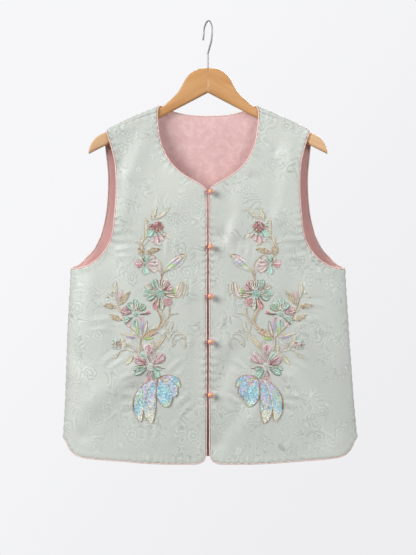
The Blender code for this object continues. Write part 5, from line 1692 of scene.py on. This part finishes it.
BELL_SATIN = (
    # kind, base (out, down), tip (out, down), width, bow, dye, edge
    ("satin", (99, 668), (113, 690), 7.0, -2.0, "leaf", "copper"),
    ("satin", (93, 667), (76, 681), 6.6, 1.6, "leaf", "copper"),
    ("satin", (97, 668), (96, 692), 6.2, 0.6, "blush", "copper"),
)
disc_film, copper = sequin_material(), np.mean(DYES["copper"], axis=0)
for half, hand in ((-1, "right"), (1, "left")):
    threads, cords, sequins = Pile(), Pile(), Pile()
    rng = np.random.default_rng(40 + half)
    across, down = np.arange(*BELL_ACROSS, SEQUIN_APART), np.arange(*BELL_DOWN, SEQUIN_APART * 0.87)
    outs, downs = np.meshgrid(across, down)
    outs[::2] += 0.5 * SEQUIN_APART
    spots = np.stack((outs, downs), axis=-1).reshape(-1, 2) + 0.18 * rng.standard_normal((outs.size, 2))
    for order, (base, tip, width, bow, dyes) in enumerate(BELL_PETALS):
        share = inside_petal(base, tip, width, bow, spots)
        stray = 0.09 * np.sin(spots[:, 0] * 0.45 + 2 * order) + 0.05 * rng.standard_normal(len(spots))
        patch = np.clip((share + stray) * len(dyes), 0, len(dyes) - 1).astype(int)
        for number, dye in enumerate(dyes):
            mine = (share >= 0) & (patch == number)
            if mine.any():
                deep, pale = np.array(SHIMMERS[dye])
                tints = deep + (pale - deep) * rng.random((mine.sum(), 1))
                # painted glints: some sequins turned pure white
                tints[rng.random(mine.sum()) < SEQUIN_GLINT_SHARE] = DYES["white"][1]
                sew_sequins(rng, half, spots[mine], mottled(rng, tints, 0.08))
        spots = spots[share < 0]
        for line in outline_of(base, tip, width + 1.4, bow, "bell"):
            line = walk(line, even(BELL_EDGE_STEPS))
            shown = np.ones(len(line), bool)
            for other in BELL_PETALS[:order]:
                shown &= inside_petal(*other[:4], line) < 0
            for run in np.split(np.arange(len(line)), np.flatnonzero(np.diff(shown.astype(int))) + 1):
                if shown[run[0]] and len(run) > 6:
                    lay_cord(half, line[run], copper, radius=0.8, lift=0.9)
    for kind, base, tip, width, bow, dye, edge in BELL_SATIN:
        work_shape(rng, half, kind, base, tip, width, bow, "petal", dye, edge)
    threads.build(f"bell_floss_{hand}", floss, "thread")
    cords.build(f"bell_cords_{hand}", floss, "thread")
    sequins.build(f"bell_sequins_{hand}", disc_film, "sequin")

# ---- The studio --------------------------------------------------------------------------------------------
# A small pale floor under the hanging garment and a pale backdrop, lit by one large soft lamp up on the left
# and weaker ones in front, at the right and behind. The backdrop's fall-off from its upper left is painted
# light.
FLOOR_Z, FLOOR_R, FLOOR_SIDES = -1.9, 0.7, 96
PALE, AMBIENT = (0.93, 0.93, 0.947), 0.06


def studio_floor():
    """A round pale floor."""
    made = new_material("studio_floor", PALE, 0.9)[0]
    turn = 2 * math.pi * np.arange(FLOOR_SIDES) / FLOOR_SIDES
    rim = (FLOOR_R * np.cos(turn), FLOOR_R * np.sin(turn), np.full(FLOOR_SIDES, FLOOR_Z))
    points = np.stack(rim, axis=1)
    mesh = bpy.data.meshes.new("studio_floor")
    mesh.from_pydata(points.tolist(), [], [list(range(FLOOR_SIDES))])
    mesh.materials.append(made)
    floor = bpy.data.objects.new("studio_floor", mesh)
    bpy.context.scene.collection.objects.link(floor)


def soft_lamp(name, place, target, size, watts):
    """A square area lamp aimed at a point."""
    data = bpy.data.lights.new(name, "AREA")
    data.shape, data.size, data.energy = "SQUARE", size, watts
    lamp = bpy.data.objects.new(name, data)
    lamp.location = place
    aim = Vector(target) - Vector(place)
    lamp.rotation_euler = aim.to_track_quat("-Z", "Y").to_euler()
    bpy.context.scene.collection.objects.link(lamp)


studio_floor()
soft_lamp("key", (-3.2, -2.5, 1.2), (0, 0, -0.4), 2.2, 198)
soft_lamp("fill", (2.4, -2.8, 1.0), (0, 0, -0.5), 1.6, 68)
soft_lamp("side", (3.6, -0.7, -0.3), (0, 0, -0.5), 1.6, 36)
soft_lamp("back", (0.4, 2.4, 0.9), (0, 0, -0.45), 2.0, 78)
sky = bpy.data.worlds.new("pale_studio")
sky.use_nodes = True
tree = sky.node_tree
seen = node(tree, "LightPath").outputs["Is Camera Ray"]
around = tree.nodes["Background"]
around.inputs["Color"].default_value = (*PALE, 1)
# painted light: the backdrop the camera sees is brighter at the upper left and darker towards the lower right
toward = node(tree, "SeparateXYZ", {0: node(tree, "TexCoord").outputs["Generated"]}).outputs
falling = maths(tree, "MULTIPLY_ADD", toward[2], -0.8, toward[0])
backdrop = spread(tree, falling, -0.25, 0.3, 1.0, 0.915)
strength = maths(tree, "MULTIPLY_ADD", seen, maths(tree, "SUBTRACT", backdrop, AMBIENT), AMBIENT)
tree.links.new(strength, around.inputs["Strength"])
bpy.context.scene.world = sky
bpy.context.scene.view_settings.view_transform = "Standard"

SENSOR, FRAME_TALL, FRAME_AWAY = 36.0, 1.038, 2.5  # the frame takes in 1.038 m at 2.5 m
camera = bpy.data.objects.new("camera", bpy.data.cameras.new("camera"))
camera.location = (0.0, -2.52, -0.482)
camera.rotation_euler = (math.pi / 2, 0.0, 0.0)
camera.data.sensor_fit, camera.data.sensor_height = "VERTICAL", SENSOR
camera.data.lens = SENSOR / FRAME_TALL * FRAME_AWAY
bpy.context.scene.collection.objects.link(camera)
bpy.context.scene.camera = camera
